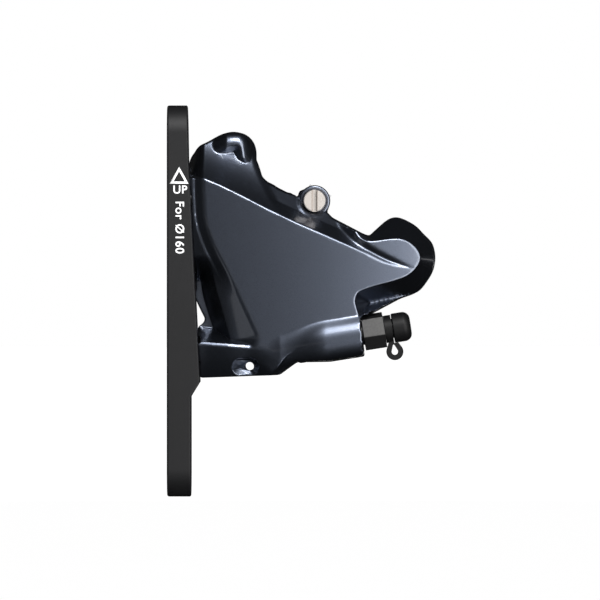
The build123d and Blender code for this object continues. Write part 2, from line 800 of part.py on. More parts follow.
def add_piston(rim, towards):
    """A piston cup whose open rim stands at a depth, its floor on the side given as -1 or 1."""
    with BuildPart() as piston:
        with BuildSketch(pad_side(rim)):
            Circle(piston_radius)
        extrude(amount=-piston_length * towards)
        with BuildSketch(pad_side(rim)):
            Circle(piston_radius - piston_wall)
        extrude(amount=-(piston_length - piston_floor) * towards, mode=Mode.SUBTRACT)
        floor = piston.faces().filter_by(Axis.Y).sort_by(Axis.Y)[-1 if towards > 0 else 0]
        chamfer(floor.edges(), small_round)
    return piston.part


def add_piston_seal(start):
    """The square ring in a bore, from a depth."""
    with BuildPart() as seal:
        with BuildSketch(pad_side(start)):
            Circle(seal_outer_radius)
            Circle(bore_radius + piston_clearance, mode=Mode.SUBTRACT)
        extrude(amount=seal_width)
    return seal.part


def add_pad_plate(back):
    """A pad's steel plate with its ear, from a depth towards -Y."""
    with BuildPart() as plate:
        with BuildSketch(pad_side(back)):
            with Locations((0, (pad_high - pad_low) / 2)):
                RectangleRounded(pad_width, pad_high + pad_low, pad_round)
            with Locations((0, ear_rise)):
                Circle(ear_radius)
            Polygon(
                (-ear_neck_width / 2, pad_high - pad_round),
                (ear_neck_width / 2, pad_high - pad_round),
                (ear_radius, ear_rise),
                (-ear_radius, ear_rise),
                align=None,
            )
            with Locations((0, ear_rise)):
                Circle(pad_axle_radius + pad_hole_clearance, mode=Mode.SUBTRACT)
        extrude(amount=plate_thickness)
    return plate.part


def add_pad_lining(back):
    """A pad's lining, from a depth towards -Y."""
    with BuildPart() as lining:
        with BuildSketch(pad_side(back)):
            with Locations((0, (lining_high - lining_low) / 2)):
                RectangleRounded(lining_width, lining_high + lining_low, pad_round)
        extrude(amount=lining_thickness)
        edges = lining.edges().filter_by(Axis.Y)
        chamfer(lining.edges() - edges, lining_chamfer)
    return lining.part


save(add_piston(piston_rest, -1), "outer_piston")
save(add_piston(rotor_offset * 2 - piston_rest, 1), "inner_piston")
save(add_piston_seal(outer_wall - seal_depth - seal_groove_clearance), "outer_piston_seal")
save(add_piston_seal(inner_wall + seal_depth + seal_width + seal_groove_clearance), "inner_piston_seal")
save(add_pad_plate(piston_rest + plate_thickness), "outer_pad_plate")
save(add_pad_plate(rotor_offset * 2 - piston_rest), "inner_pad_plate")
save(add_pad_lining(rotor_offset - pad_gap / 2), "outer_pad_lining")
save(add_pad_lining(rotor_offset + pad_gap / 2 + lining_thickness), "inner_pad_lining")

# Pad spring
with BuildPart() as pad_spring:
    for leg_back in (outer_leg_back, inner_leg_back):
        with BuildSketch(pad_side(leg_back)):
            with Locations((0, (spring_shelf + ear_rise + spring_top) / 2)):
                Rectangle(spring_width, ear_rise + spring_top - spring_shelf)
            with Locations((0, spring_shelf + spring_arm_width / 2)):
                Rectangle(spring_reach * 2, spring_arm_width)
            for arm in (spring_arm_width / 2 - spring_reach, spring_reach - spring_arm_width / 2):
                with Locations((arm, spring_shelf - spring_arm_drop / 2)):
                    Rectangle(spring_arm_width, spring_arm_drop + spring_arm_width)
            with Locations((0, ear_rise)):
                Circle(pad_axle_radius + pad_hole_clearance * 2, mode=Mode.SUBTRACT)
        extrude(amount=spring_thickness)
    with BuildSketch(pad_side(inner_leg_back)):
        with Locations((0, ear_rise + spring_top - spring_thickness / 2)):
            Rectangle(spring_width, spring_thickness)
    extrude(amount=inner_leg_back - outer_leg_back + spring_thickness)
save(pad_spring.part, "pad_spring")

# Pad axle
with BuildPart() as pad_axle:
    with BuildSketch(side_at(pad_axle_x, pad_axle_end, pad_axle_z)):
        Circle(pad_axle_radius)
    extrude(amount=pad_axle_end - axle_boss_front)
    chamfer(pad_axle.faces().sort_by(Axis.Y)[-1].edges(), pad_axle_tail_chamfer)
    with BuildSketch(side_at(pad_axle_x, axle_boss_front, pad_axle_z)):
        Circle(pad_axle_head_radius)
    extrude(amount=pad_axle_head_height)
    chamfer(pad_axle.faces().sort_by(Axis.Y)[0].edges(), pad_axle_head_chamfer)
    with BuildSketch(side_at(pad_axle_x, pad_axle_head_front + pad_axle_slot_depth, pad_axle_z)):
        Rectangle(pad_axle_slot, pad_axle_head_radius * 2 + cut_overrun)
    extrude(amount=pad_axle_slot_depth + cut_overrun, mode=Mode.SUBTRACT)
    with BuildSketch(side_at(pad_axle_x, clip_back + clip_clearance, pad_axle_z)):
        Circle(pad_axle_radius + cut_overrun)
        Circle(pad_axle_radius - clip_groove_depth, mode=Mode.SUBTRACT)
    extrude(amount=clip_thickness + clip_clearance * 2, mode=Mode.SUBTRACT)
save(pad_axle.part, "pad_axle")

# Snap clip in the pad axle's groove
with BuildPart() as pad_axle_clip:
    with BuildSketch(side_at(pad_axle_x, clip_back, pad_axle_z)):
        Circle(pad_axle_radius - clip_groove_depth + clip_clearance + clip_width)
        Circle(pad_axle_radius - clip_groove_depth + clip_clearance, mode=Mode.SUBTRACT)
        with Locations((0, -pad_axle_radius)):
            Rectangle(clip_mouth, pad_axle_radius * 2, mode=Mode.SUBTRACT)
    extrude(amount=clip_thickness)
save(pad_axle_clip.part, "pad_axle_clip")

# Bleed nipple
with BuildPart() as bleed_nipple:
    with BuildSketch(bleed_plane(-nipple_thread_length)):
        Circle(nipple_thread_radius)
    extrude(amount=nipple_thread_length + nipple_seat_gap)
    chamfer(bleed_nipple.faces().sort_by(Axis.X)[0].edges(), nipple_tip_chamfer)
    with BuildSketch(bleed_plane(nipple_seat_gap)):
        RegularPolygon(hex_across_flats / 2, 6, major_radius=False, rotation=hex_turn)
    extrude(amount=hex_length)
    with BuildSketch(bleed_plane(hex_end)):
        Circle(neck_radius)
    extrude(amount=neck_length)
    with BuildSketch(bleed_plane(hex_end + neck_length - barb_length)):
        Circle(barb_radius)
    with BuildSketch(bleed_plane(hex_end + neck_length)):
        Circle(neck_radius - small_round)
    loft()
    with BuildSketch(bleed_plane(hex_end + neck_length + cut_overrun)):
        Circle(nipple_bore_radius)
    extrude(amount=-neck_length - hex_length - cut_overrun - nipple_thread_length / 2, mode=Mode.SUBTRACT)
save(bleed_nipple.part, "bleed_nipple")

# Bleed cap
with BuildPart() as bleed_cap:
    with BuildSketch(bleed_plane(cap_start)):
        Circle(cap_radius)
    extrude(amount=cap_length)
    fillet(bleed_cap.edges().sort_by(Axis.X)[-1], cap_dome_round)
    with BuildSketch(bleed_plane(cap_start)):
        Circle(barb_radius + cap_bore_clearance / 2)
    extrude(amount=cap_depth, mode=Mode.SUBTRACT)
save(bleed_cap.part, "bleed_cap")

# Cap strap, a ring on the nipple's neck and a loop
with BuildPart() as bleed_cap_strap:
    with BuildSketch(bleed_plane(hex_end + strap_ring_clearance)):
        Circle(strap_ring_radius)
    extrude(amount=ring_length)
    with BuildSketch(strap_plane()):
        with Locations((strap_shift, -strap_drop)):
            Circle(strap_loop_radius)
        Circle(strap_thickness / 2)
        make_hull()
    extrude(amount=strap_width / 2, both=True)
    with BuildSketch(strap_plane()):
        with Locations((strap_shift, -strap_drop)):
            Circle(strap_loop_radius - strap_thickness)
        with Locations((strap_shift / 2, -strap_drop / 2)):
            Circle(strap_root_gap)
        make_hull()
    extrude(amount=strap_width, both=True, mode=Mode.SUBTRACT)
    with BuildSketch(bleed_plane(hex_end)):
        Circle(neck_radius + strap_ring_clearance)
    extrude(amount=neck_length, mode=Mode.SUBTRACT)
    with BuildSketch(bleed_plane(cap_start - cap_gap)):
        Circle(cap_radius + strap_root_gap)
    extrude(amount=cap_length + cap_gap, mode=Mode.SUBTRACT)
save(bleed_cap_strap.part, "bleed_cap_strap")
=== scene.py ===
"""Bicycle disc brake caliper on its fork adapter plate: its finishes, the stage and the camera."""
import json
import math

import bmesh
import bpy
import numpy as np
from bpy.props import FloatProperty, FloatVectorProperty, PointerProperty
from mathutils import Matrix, Vector
from mathutils.bvhtree import BVHTree


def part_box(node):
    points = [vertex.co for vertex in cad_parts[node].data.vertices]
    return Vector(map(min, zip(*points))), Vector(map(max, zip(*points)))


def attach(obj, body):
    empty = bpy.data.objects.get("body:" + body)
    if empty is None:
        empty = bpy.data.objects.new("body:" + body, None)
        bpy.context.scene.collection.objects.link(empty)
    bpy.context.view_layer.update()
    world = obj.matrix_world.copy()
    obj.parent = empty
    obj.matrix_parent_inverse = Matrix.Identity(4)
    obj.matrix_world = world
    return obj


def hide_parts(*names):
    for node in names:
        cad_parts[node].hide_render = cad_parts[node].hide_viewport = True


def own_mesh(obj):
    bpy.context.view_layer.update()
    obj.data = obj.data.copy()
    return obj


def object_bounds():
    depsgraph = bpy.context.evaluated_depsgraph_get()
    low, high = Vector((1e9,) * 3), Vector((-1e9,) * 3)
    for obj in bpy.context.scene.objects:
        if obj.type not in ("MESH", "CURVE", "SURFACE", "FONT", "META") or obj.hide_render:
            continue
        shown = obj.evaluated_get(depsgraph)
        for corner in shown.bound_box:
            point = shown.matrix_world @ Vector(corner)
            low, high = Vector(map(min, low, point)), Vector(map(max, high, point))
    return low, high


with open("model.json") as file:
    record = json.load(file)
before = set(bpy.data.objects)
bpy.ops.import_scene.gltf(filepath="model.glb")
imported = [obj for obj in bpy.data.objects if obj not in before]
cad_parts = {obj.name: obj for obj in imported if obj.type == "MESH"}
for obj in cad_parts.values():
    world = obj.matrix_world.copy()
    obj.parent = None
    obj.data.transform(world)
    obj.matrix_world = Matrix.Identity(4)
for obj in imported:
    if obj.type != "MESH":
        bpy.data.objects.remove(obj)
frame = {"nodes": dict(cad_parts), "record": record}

bl_info = {
    "name": "Disc brake caliper",
    "version": (1, 0, 0),
    "blender": (4, 5, 0),
    "location": "View3D > Sidebar > Caliper",
    "description": "Dresses a flat-mount bicycle brake caliper and its adapter plate",
    "category": "Object",
}

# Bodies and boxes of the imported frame
CAD_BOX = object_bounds()
BODY_OF = {
    node: body for body, nodes in frame["record"]["behaviour"]["bodies"].items() for node in nodes
}
SLOT_OF = {part["node"]: part["material_slot"] for part in frame["record"]["subparts"]}

# The photograph's frame: pixels to the metre and the pixel of the frame's origin
PHOTO_SIZE = 600
PHOTO_SCALE = 4610.0
ORIGIN_PX = (167.0, 301.0)
MM = 0.001


def linear(code):
    """Linear red, green and blue of an sRGB hex colour."""
    shares = [int(code[i:i + 2], 16) / 255 for i in (1, 3, 5)]
    return tuple(s / 12.92 if s <= 0.04045 else ((s + 0.055) / 1.055) ** 2.4 for s in shares)


def length(name, description, default):
    """A length that a user may change, in metres."""
    return FloatProperty(name=name, description=description, default=default * MM, unit="LENGTH", precision=5)


def colour(name, description, code):
    """A colour that a user may change."""
    return FloatVectorProperty(
        name=name, description=description, default=linear(code), subtype="COLOR", size=3, min=0, max=1
    )


class CaliperSizes(bpy.types.PropertyGroup):
    """Sizes of the finish, in metres."""

    skin_step: length("Skin step", "Spacing of the cast halves' surface points", 0.24)
    edge_break: length("Edge break", "Rounding of machined edges", 0.25)
    print_height: length("Print height", "How far the printed marks stand on the plate", 0.015)
    mark_height: length("Mark height", "Height of the printed capitals", 2.0)
    triangle_width: length("Triangle width", "Width of the printed triangle's base", 4.1)
    triangle_line: length("Triangle line", "Width of the printed triangle's line", 0.42)
    camera_distance: length("Camera distance", "Distance of the camera from the caliper's middle", 1450.0)
    floor_drop: length("Floor drop", "Distance of the floor below the plate's foot", 180.0)


class CaliperColours(bpy.types.PropertyGroup):
    """Colours of the finish."""

    plate: colour("Plate", "Black anodised aluminium", "#121214")
    plate_dark: colour("Plate shade", "Anodising where the dye is deeper", "#0D0D0F")
    lacquer: colour("Lacquer", "Metallic lacquer on the cast halves", "#6E7583")
    lacquer_dark: colour("Lacquer shade", "Lacquer between its flakes", "#565C69")
    ink: colour("Ink", "White printing ink", "#F2F2F2")
    ink_thin: colour("Thin ink", "Ink where it is thin", "#D8D8DA")
    zinc: colour("Zinc", "Black zinc plating", "#3A3A3C")
    zinc_dark: colour("Zinc shade", "Black zinc plating where it is thick", "#151516")
    # This pale grey also serves as a painted highlight on the nipple's flat that faces the camera and the top
    # lamp
    worn_and_lit_zinc: colour("Worn zinc", "Zinc plating worn to a pale grey", "#343332")
    stainless: colour("Stainless", "Turned stainless steel", "#C2BCB6")
    # Colour of the painted shade along the edges of the pad axle's slot
    stain: colour("Stain", "Brown stain along the axle's slot", "#7A6450")
    rubber: colour("Rubber", "Black moulded rubber", "#0D0D0E")
    ceramic: colour("Ceramic", "Off-white ceramic of the pistons", "#D6D0C4")
    ceramic_dark: colour("Ceramic shade", "Ceramic where it is rubbed", "#BDB7AB")
    pad_steel: colour("Pad steel", "Stamped steel of the pad plates", "#8E8C88")
    lining: colour("Lining", "Moulded resin compound of the linings", "#4A423C")
    fleck: colour("Fleck", "Metal flecks in the linings", "#B08A4A")
    spring: colour("Spring", "Bright spring steel", "#C9C9CC")
    floor: colour("Floor", "Pale studio floor", "#F4F4F4")


# Places in the photograph, in its pixels
TRIANGLE_TOP_PX = (179.4, 167.2)
TRIANGLE_LOW_PX = (179.4, 184.0)
UP_PX = (180.3, 190.2)
SIZE_PX = (179.6, 227.5)

# Capitals' share of a letter's size, how much bolder the strokes are in millimetres, the share by which
# letters stand apart, and how far an inner triangle's side stands in per width of line
CAPITAL_SHARE = 0.69
BOLD = 0.035
LETTER_SPACE = 1.1
TRIANGLE_INSET = 1.9

# Printed words: name, words, middle in the photograph, turn and share of the capitals' height
PRINTS = (
    ("print_up", "UP", UP_PX, 0.0, 0.84),
    ("print_size", "For \u00d8160", SIZE_PX, math.pi / 2, 0.9),
)

# Lines of the outer half's face in the photograph: the ridge over it, the bowl's right flank, the horn's
# outline, the face's left edge, the foot of the facet beside it, the foot's top edge, the edge where the
# barrel stands out, the groove's upper edge, and the rim of the nose with the far corners that close it
RIDGE_PX = (
    (202.0, 177.6), (226.0, 187.6), (283.2, 217.0), (339.9, 241.4), (362.9, 251.9), (382.7, 261.9),
    (393.8, 265.1), (404.9, 266.9),
)
FLANK_PX = ((252.0, 150.0), (254.5, 163.0), (259.0, 176.0), (271.0, 200.0), (281.0, 218.0))
HORN_PX = (
    (193.0, 162.0), (193.0, 151.0), (198.9, 145.0), (208.4, 139.8), (221.3, 133.4), (226.5, 131.7),
    (236.8, 131.2), (243.7, 132.9), (248.9, 136.0), (252.3, 140.7), (254.0, 146.7), (255.8, 154.4),
    (258.4, 164.8), (264.4, 179.8), (276.4, 187.2), (291.1, 195.1),
)
FACE_LEFT_PX = (
    (203.0, 170.0), (203.0, 181.0), (203.5, 200.0), (205.0, 222.0), (212.0, 242.0), (221.0, 260.0),
    (229.0, 275.0), (240.0, 300.0), (252.0, 325.0), (257.5, 337.0), (256.0, 344.0),
)
FACET_FOOT_PX = ((203.0, 225.0), (205.8, 240.5), (214.4, 283.6), (223.1, 314.6), (231.0, 342.0))
FOOT_TOP_PX = ((195.0, 341.0), (201.0, 341.5), (247.0, 345.0), (262.0, 346.0))
BARREL_PX = (
    (358.8, 313.5), (336.6, 316.5), (319.1, 321.5), (305.8, 330.0), (295.6, 341.5), (286.9, 355.0),
    (278.0, 367.0),
)
GROOVE_PX = ((405.3, 266.0), (393.4, 259.5), (381.4, 253.5), (360.6, 241.5))
RIM_PX = (
    (344.5, 236.9), (355.1, 240.6), (373.1, 241.5), (385.0, 239.5), (397.5, 238.3), (406.0, 240.0),
    (412.7, 244.3), (418.0, 250.0), (421.0, 257.0), (418.7, 265.0), (409.0, 275.6), (393.8, 281.2),
    (378.1, 284.9), (361.5, 290.4), (356.9, 293.2), (354.6, 300.1), (356.0, 306.1), (358.8, 316.2),
)
RIM_CLOSE_PX = ((366.0, 340.0), (150.0, 420.0), (150.0, 60.0), (344.5, 60.0))

# How far a traced line runs on past its ends, in lengths of its end pieces
RUN_ON = 9

# The outer half's forms, in millimetres. Slopes are depth per millimetre across, bends are depth per square
# millimetre, and a range is where a form fades in. A form that isn't there is cleared by a steep slope.
CREASE_ROUND = 0.36
CLEAR = 3.0

# Face: depth, the bends of its crown left and right of the crown's middle, and that middle
FACE_Y = -5.2
FACE_CROWNS = (0.0015, 0.0018)
CROWN_X = 34.0

# Roof: slopes before and past its break, the range of x over which they ease to a share, and the range past
# the bowl's flank over which the roof takes the bowl's place
ROOF_SLOPES = (1.5, 0.95)
ROOF_BREAK = 2.5
ROOF_EASE = (37.0, 44.0)
ROOF_EASE_SHARE = 0.55
FLANK_RANGE = (-0.6, 1.4)

# Bowl: slopes at the ridge and past its reach
BOWL_SLOPES = (1.35, 0.5)
BOWL_REACH = 8.5

# Horn: its bead lies behind the face, round at the top left and thin and sunk at the right
HORN_BACK = 6.0
HORN_ROUND = 2.5
HORN_SINK = 2.5
HORN_THIN = 0.4
HORN_THIN_X = (11.0, 16.0)
HORN_THIN_Z = (27.5, 31.5)
HORN_UNDER = 0.6
HORN_FILLET = 0.15
HORN_OVER_RIDGE = 1.0

# Sides of the horn: slope left of one x and bend right of another. Shoulder left of the face: how far before
# the edge it starts, its bend, and the range past the ridge where it fades in
HORN_LEFT_X = 12.8
HORN_LEFT_SLOPE = 0.6
HORN_RIGHT_X = 15.6
HORN_RIGHT_BEND = 0.27
SHOULDER_START = 0.4
SHOULDER_BEND = 1.2
SHOULDER_RANGE = (-1.5, 0.0)

# Band past the rim of the nose, and the tongue above the groove with the widths that blend it into the face
RIM_SLOPE = 2.3
RIM_FADE = (38.0, 47.0)
RIM_LOW = (4.0, 8.0)
RIM_INSIDE = 1.0
GROOVE_SLOPE = 1.0
TONGUE_SINK_X = 44.0
TONGUE_SINK_BEND = 0.12
TONGUE_ROUND = 0.8
TONGUE_BLENDS = (2.0, 0.5, 0.02)
TONGUE_RANGES = ((40.0, 44.0), (47.0, 51.0))

# Column beside the face: slopes of its side, its bead and what lies past the bead, with the first two widths
COLUMN_SLOPES = (0.66, -0.3, 0.5)
COLUMN_WIDTHS = (1.85, 0.4)

# Facet below the column, with its slopes high and low, and the pocket past the facet's foot
FACET_SLOPES = (1.25, 0.5)
FACET_HEIGHTS = (0.0, 13.0)
POCKET_SLOPE = 2.2
POCKET_DEPTH = 10.5
POCKET_HEIGHTS = (4.0, 10.0)

# Foot: how far it stands out and where that ends, slope and bend of its roll, where the roll fades into the
# face (middle, lean and range), and the slopes, height and round of its ledge
FOOT_STAND = 0.3
FOOT_STAND_RANGE = (13.0, 19.0)
FOOT_DROP = (0.32, 0.02)
FOOT_MIDDLE = (16.0, -9.5)
FOOT_LEAN = 0.55
FOOT_RANGE = (-1.0, 7.0)
LEDGE_SLOPES = (0.45, 3.0)
LEDGE_HEIGHT = 1.15
LEDGE_ROUND = 0.15

# Barrel: end of its axis (x, z), tilt in degrees, radius, how flat it is, depths of its axis and the range of
# x between them, slope at which it sinks left of the range, fillet, and how far it covers the face's edge
BARREL_END = (42.3, -7.5)
BARREL_TILT = 9.0
BARREL_ROUND = 4.85
BARREL_FLAT = 0.8
BARREL_Y = (-1.3, -3.05)
BARREL_RANGE = (24.5, 34.5)
BARREL_SINK = 0.35
BARREL_FILLET = 0.9
BARREL_COVER = 3.0
BARREL_COVER_RANGE = (25.0, 33.0)

# Small moves of the halves' outline, in millimetres: middle (x, z), move (x, z) and reach
OUTLINE_MOVES = (
    (5.6, 30.5, -0.9, 0.0, 2.6),
    (5.6, 27.5, -0.9, 0.0, 3.2),
    (12.0, 36.0, -0.2, 0.45, 4.5),
    (22.3, 26.4, -0.15, -0.65, 2.8),
    (26.2, 24.9, -0.25, -0.9, 3.0),
    (24.0, 25.2, -0.1, -0.62, 1.9),
    (26.7, 23.4, 0.0, -0.25, 0.8),
    (27.4, 22.6, 0.0, 0.65, 1.3),
    (28.8, 23.2, -0.3, 0.6, 1.8),
    (34.7, 19.2, 0.3, 0.35, 1.8),
    (7.3, 0.5, -0.4, 0.0, 3.0),
    (49.6, 18.0, -0.2, 1.0, 5.0),
    (56.6, 15.4, -0.35, -0.3, 3.5),
    (54.6, 1.0, 0.4, -0.5, 4.5),
)

# The pad axle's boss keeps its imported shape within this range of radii. A round collar of (radius, half
# width) stands out of the boss's front, with steps round its tube and round its ring.
BOSS_RANGE = (3.4, 3.8)
BOSS_COLLAR = (2.96, 0.46)
BOSS_Y = 0.95
COLLAR_STAND = 0.35
COLLAR_STEPS = (16, 64)

# Hole of the pin in the foot, in millimetres: middle, shift of its recesses, radius and steps round it, and
# each recess's length, width, depth and the flare of its rim
PIN_PLACE = (17.9, -14.2)
PIN_SHIFT = 0.85
PIN_ROUND = 0.92
PIN_STEPS = 32
PIN_RECESSES = ((5.6, 3.4, 0.7, 0.25), (3.4, 1.65, 1.6, 0.12))

# Skins of the cast halves: how much coarser the first skin and the inner half's are, smoothing passes, how
# far off the skin the rays start that tell what is seen, and how near and how square to the front a point
# has to be to be set on the forms again
FIRST_SKIN_SHARE = 1.4
INNER_SKIN_SHARE = 1.3
OUTER_PASSES = 2
INNER_PASSES = 8
RAY_START = 0.3
SETTLE_REACH = 0.6
SETTLE_FACING = -0.2

# Edges of the machined pieces: the gap that is welded, the least angles of a flat's seam and of an edge, and
# the plate's share of the edge break
WELD_GAP = 0.002
SEAM_ANGLE = 1.0
EDGE_ANGLE = 35.0
PLATE_EDGE_SHARE = 1.4

# Half width of the pad axle's slot, how far from its edges the painted shade is full and gone, and how deep
# in the head it is gone and full, in millimetres
SLOT_HALF = 0.55
SLOT_SHADE_WIDTHS = (0.05, 0.16)
SLOT_SHADE_DEPTHS = (1.2, 1.1)

# Side of the nipple's hexagon that faces the camera and the top lamp, painted lighter as a highlight with
# patchy wear in it, and the leans at which that starts and is full
LIT_WORN_SIDE = (0.0, -0.97, 0.25)
LIT_WORN_LEANS = (0.86, 0.93)

# Stage, in metres: floor, dark tent and card with their glow, light of the world, film width in millimetres,
# far end of the view, and lamps as name, place from the middle, width, height and power in watts
FLOOR_REACH = 30.0
FLOOR_GLOW = 0.5
CARD_GAP = 0.01
CARD_REACH = 3.0
TENT_RADIUS = 6.0
TENT_GLOW = 0.008
WORLD_LIGHT = 0.6
FILM_WIDTH = 36.0
FAR_CLIP = 100.0
LAMPS = (
    ("right_box", (0.19, -0.305, 0.025), 0.25, 0.5, 1.4),
    ("top_box", (0.05, -0.44, 0.42), 0.19, 0.3, 2.9),
    ("left_box", (-0.29, -0.24, -0.137), 0.12, 0.12, 0.022),
)


def sizes():
    """The sizes as the scene holds them."""
    return bpy.context.scene.caliper_sizes


def colours():
    """The colours as the scene holds them."""
    return bpy.context.scene.caliper_colours


def opaque(name):
    """A colour of the scene by its name, opaque."""
    return (*getattr(colours(), name), 1)


def at_photo(px, py, depth):
    """The point in the frame that shows at a pixel of the photograph, at a depth in metres."""
    return Vector(((px - ORIGIN_PX[0]) / PHOTO_SCALE, depth, (ORIGIN_PX[1] - py) / PHOTO_SCALE))


def add_node(tree, kind, inputs=None, **settings):
    """Add a shader node with its settings and inputs; a node given as input links its first output in use."""
    node = tree.nodes.new("ShaderNode" + kind)
    for name, value in settings.items():
        setattr(node, name, value)
    for name, value in (inputs or {}).items():
        if isinstance(value, bpy.types.Node):
            value = next(output for output in value.outputs if output.enabled)
        if isinstance(value, bpy.types.NodeSocket):
            tree.links.new(value, node.inputs[name])
        else:
            node.inputs[name].default_value = value
    return node


def start_material(name):
    """An empty node material, and the point on the object in millimetres."""
    material = bpy.data.materials.new(name)
    material.use_nodes = True
    tree = material.node_tree
    tree.nodes.clear()
    place = add_node(tree, "TexCoord").outputs["Object"]
    return material, tree, add_node(tree, "VectorMath", {0: place, "Scale": 1 / MM}, operation="SCALE")


def close_material(material, tree, shader):
    """Link the shader to the output and give the material back."""
    add_node(tree, "OutputMaterial", {"Surface": shader})
    return material


def finish(maker):
    """The material that a function makes, made once."""
    return bpy.data.materials.get(maker.__name__) or maker()


def anodised_aluminium():
    """Milled aluminium, bead blasted and anodised black: satin, fine grained, under a hard glassy skin."""
    material, tree, place = start_material("anodised_aluminium")
    # Bead marks are about 0.05 mm; drawn at 0.16 mm so that they show. Clouds in the dye are about 8 mm.
    beads = add_node(tree, "TexNoise", {"Vector": place, "Scale": 6.0, "Detail": 3.0})
    clouds = add_node(tree, "TexNoise", {"Vector": place, "Scale": 0.12, "Detail": 2.0})
    tone = add_node(tree, "Mix", {0: clouds, 6: opaque("plate_dark"), 7: opaque("plate")}, data_type="RGBA")
    dull = add_node(tree, "MapRange", {"Value": beads, "To Min": 0.46, "To Max": 0.62})
    relief = add_node(tree, "Bump", {"Height": beads, "Strength": 0.35, "Distance": 0.02 * MM})
    shader = add_node(
        tree, "BsdfPrincipled", {"Base Color": tone, "Roughness": dull, "Normal": relief, "IOR": 1.42}
    )
    return close_material(material, tree, shader)


def metallic_lacquer():
    """Forged aluminium under dark blue-grey metallic lacquer: soft wide reflections, faint flake mottle."""
    material, tree, place = start_material("metallic_lacquer")
    # Flakes are about 0.03 mm; drawn at 0.12 mm so that they show. The spray's mottle is about 0.6 mm.
    flakes = add_node(tree, "TexVoronoi", {"Vector": place, "Scale": 8.0})
    mottle = add_node(tree, "TexNoise", {"Vector": place, "Scale": 1.6, "Detail": 4.0})
    between = add_node(tree, "MapRange", {"Value": flakes, "To Min": 0.0, "To Max": 0.7})
    tints = {6: opaque("lacquer"), 7: opaque("lacquer_dark")}
    tone = add_node(tree, "Mix", {0: between, **tints}, data_type="RGBA")
    dull = add_node(tree, "MapRange", {"Value": mottle, "To Min": 0.31, "To Max": 0.37})
    relief = add_node(tree, "Bump", {"Height": flakes, "Strength": 0.12, "Distance": 0.02 * MM})
    look = {"Base Color": tone, "Metallic": 1.0, "Roughness": dull, "Normal": relief}
    shader = add_node(tree, "BsdfPrincipled", {**look, "Coat Weight": 1.0, "Coat Roughness": 0.1})
    return close_material(material, tree, shader)


def printing_ink():
    """Pad-printed white ink: thin, flat and slightly chalky."""
    material, tree, place = start_material("printing_ink")
    # Chalky specks are about 0.05 mm; drawn at 0.25 mm so that they show
    speck = add_node(tree, "TexNoise", {"Vector": place, "Scale": 4.0, "Detail": 3.0})
    tone = add_node(tree, "Mix", {0: speck, 6: opaque("ink"), 7: opaque("ink_thin")}, data_type="RGBA")
    shader = add_node(tree, "BsdfPrincipled", {"Base Color": tone, "Roughness": 0.55})
    return close_material(material, tree, shader)


def black_zinc():
    """Steel screws with black zinc plating: dark, slightly uneven gloss."""
    material, tree, place = start_material("black_zinc")
    # Clouds in the plating are about 0.8 mm across
    clouds = add_node(tree, "TexNoise", {"Vector": place, "Scale": 1.2, "Detail": 4.0})
    tone = add_node(tree, "Mix", {0: clouds, 6: opaque("zinc_dark"), 7: opaque("zinc")}, data_type="RGBA")
    dull = add_node(tree, "MapRange", {"Value": clouds, "To Min": 0.28, "To Max": 0.45})
    shader = add_node(tree, "BsdfPrincipled", {"Base Color": tone, "Metallic": 0.85, "Roughness": dull})
    return close_material(material, tree, shader)


def worn_and_lit_zinc():
    """Machined steel with black zinc plating, worn to grey in patches, with a painted highlight on the flat
    that faces the camera and the top lamp.
    """
    material, tree, place = start_material("worn_and_lit_zinc")
    # Tool marks are about 0.1 mm; drawn at 0.2 mm so that they show. Rubbed patches are about 0.45 mm.
    rub = add_node(tree, "TexNoise", {"Vector": place, "Scale": 2.2, "Detail": 5.0})
    marks = add_node(tree, "TexNoise", {"Vector": place, "Scale": 5.0, "Detail": 3.0})
    # Painted highlight: the flat that faces the camera and the top lamp turns lighter, and patchy wear breaks
    # it up
    facing = add_node(tree, "TexCoord").outputs["Normal"]
    lean = add_node(tree, "VectorMath", {0: facing, 1: LIT_WORN_SIDE}, operation="DOT_PRODUCT").outputs["Value"]
    start, full = LIT_WORN_LEANS
    lit_flat = add_node(tree, "MapRange", {"Value": lean, "From Min": start, "From Max": full})
    patchy = add_node(tree, "MapRange", {"Value": rub, "From Min": 0.3, "From Max": 0.65, "To Min": 0.4})
    worn_and_lit = add_node(tree, "Math", {0: lit_flat, 1: patchy}, operation="MULTIPLY")
    tone = add_node(tree, "Mix", {0: worn_and_lit, 6: opaque("zinc_dark"), 7: opaque("worn_and_lit_zinc")}, data_type="RGBA")
    dull = add_node(tree, "MapRange", {"Value": marks, "To Min": 0.34, "To Max": 0.52})
    relief = add_node(tree, "Bump", {"Height": marks, "Strength": 0.4, "Distance": 0.02 * MM})
    shader = add_node(tree, "BsdfPrincipled", {"Base Color": tone, "Roughness": dull, "Normal": relief})
    return close_material(material, tree, shader)


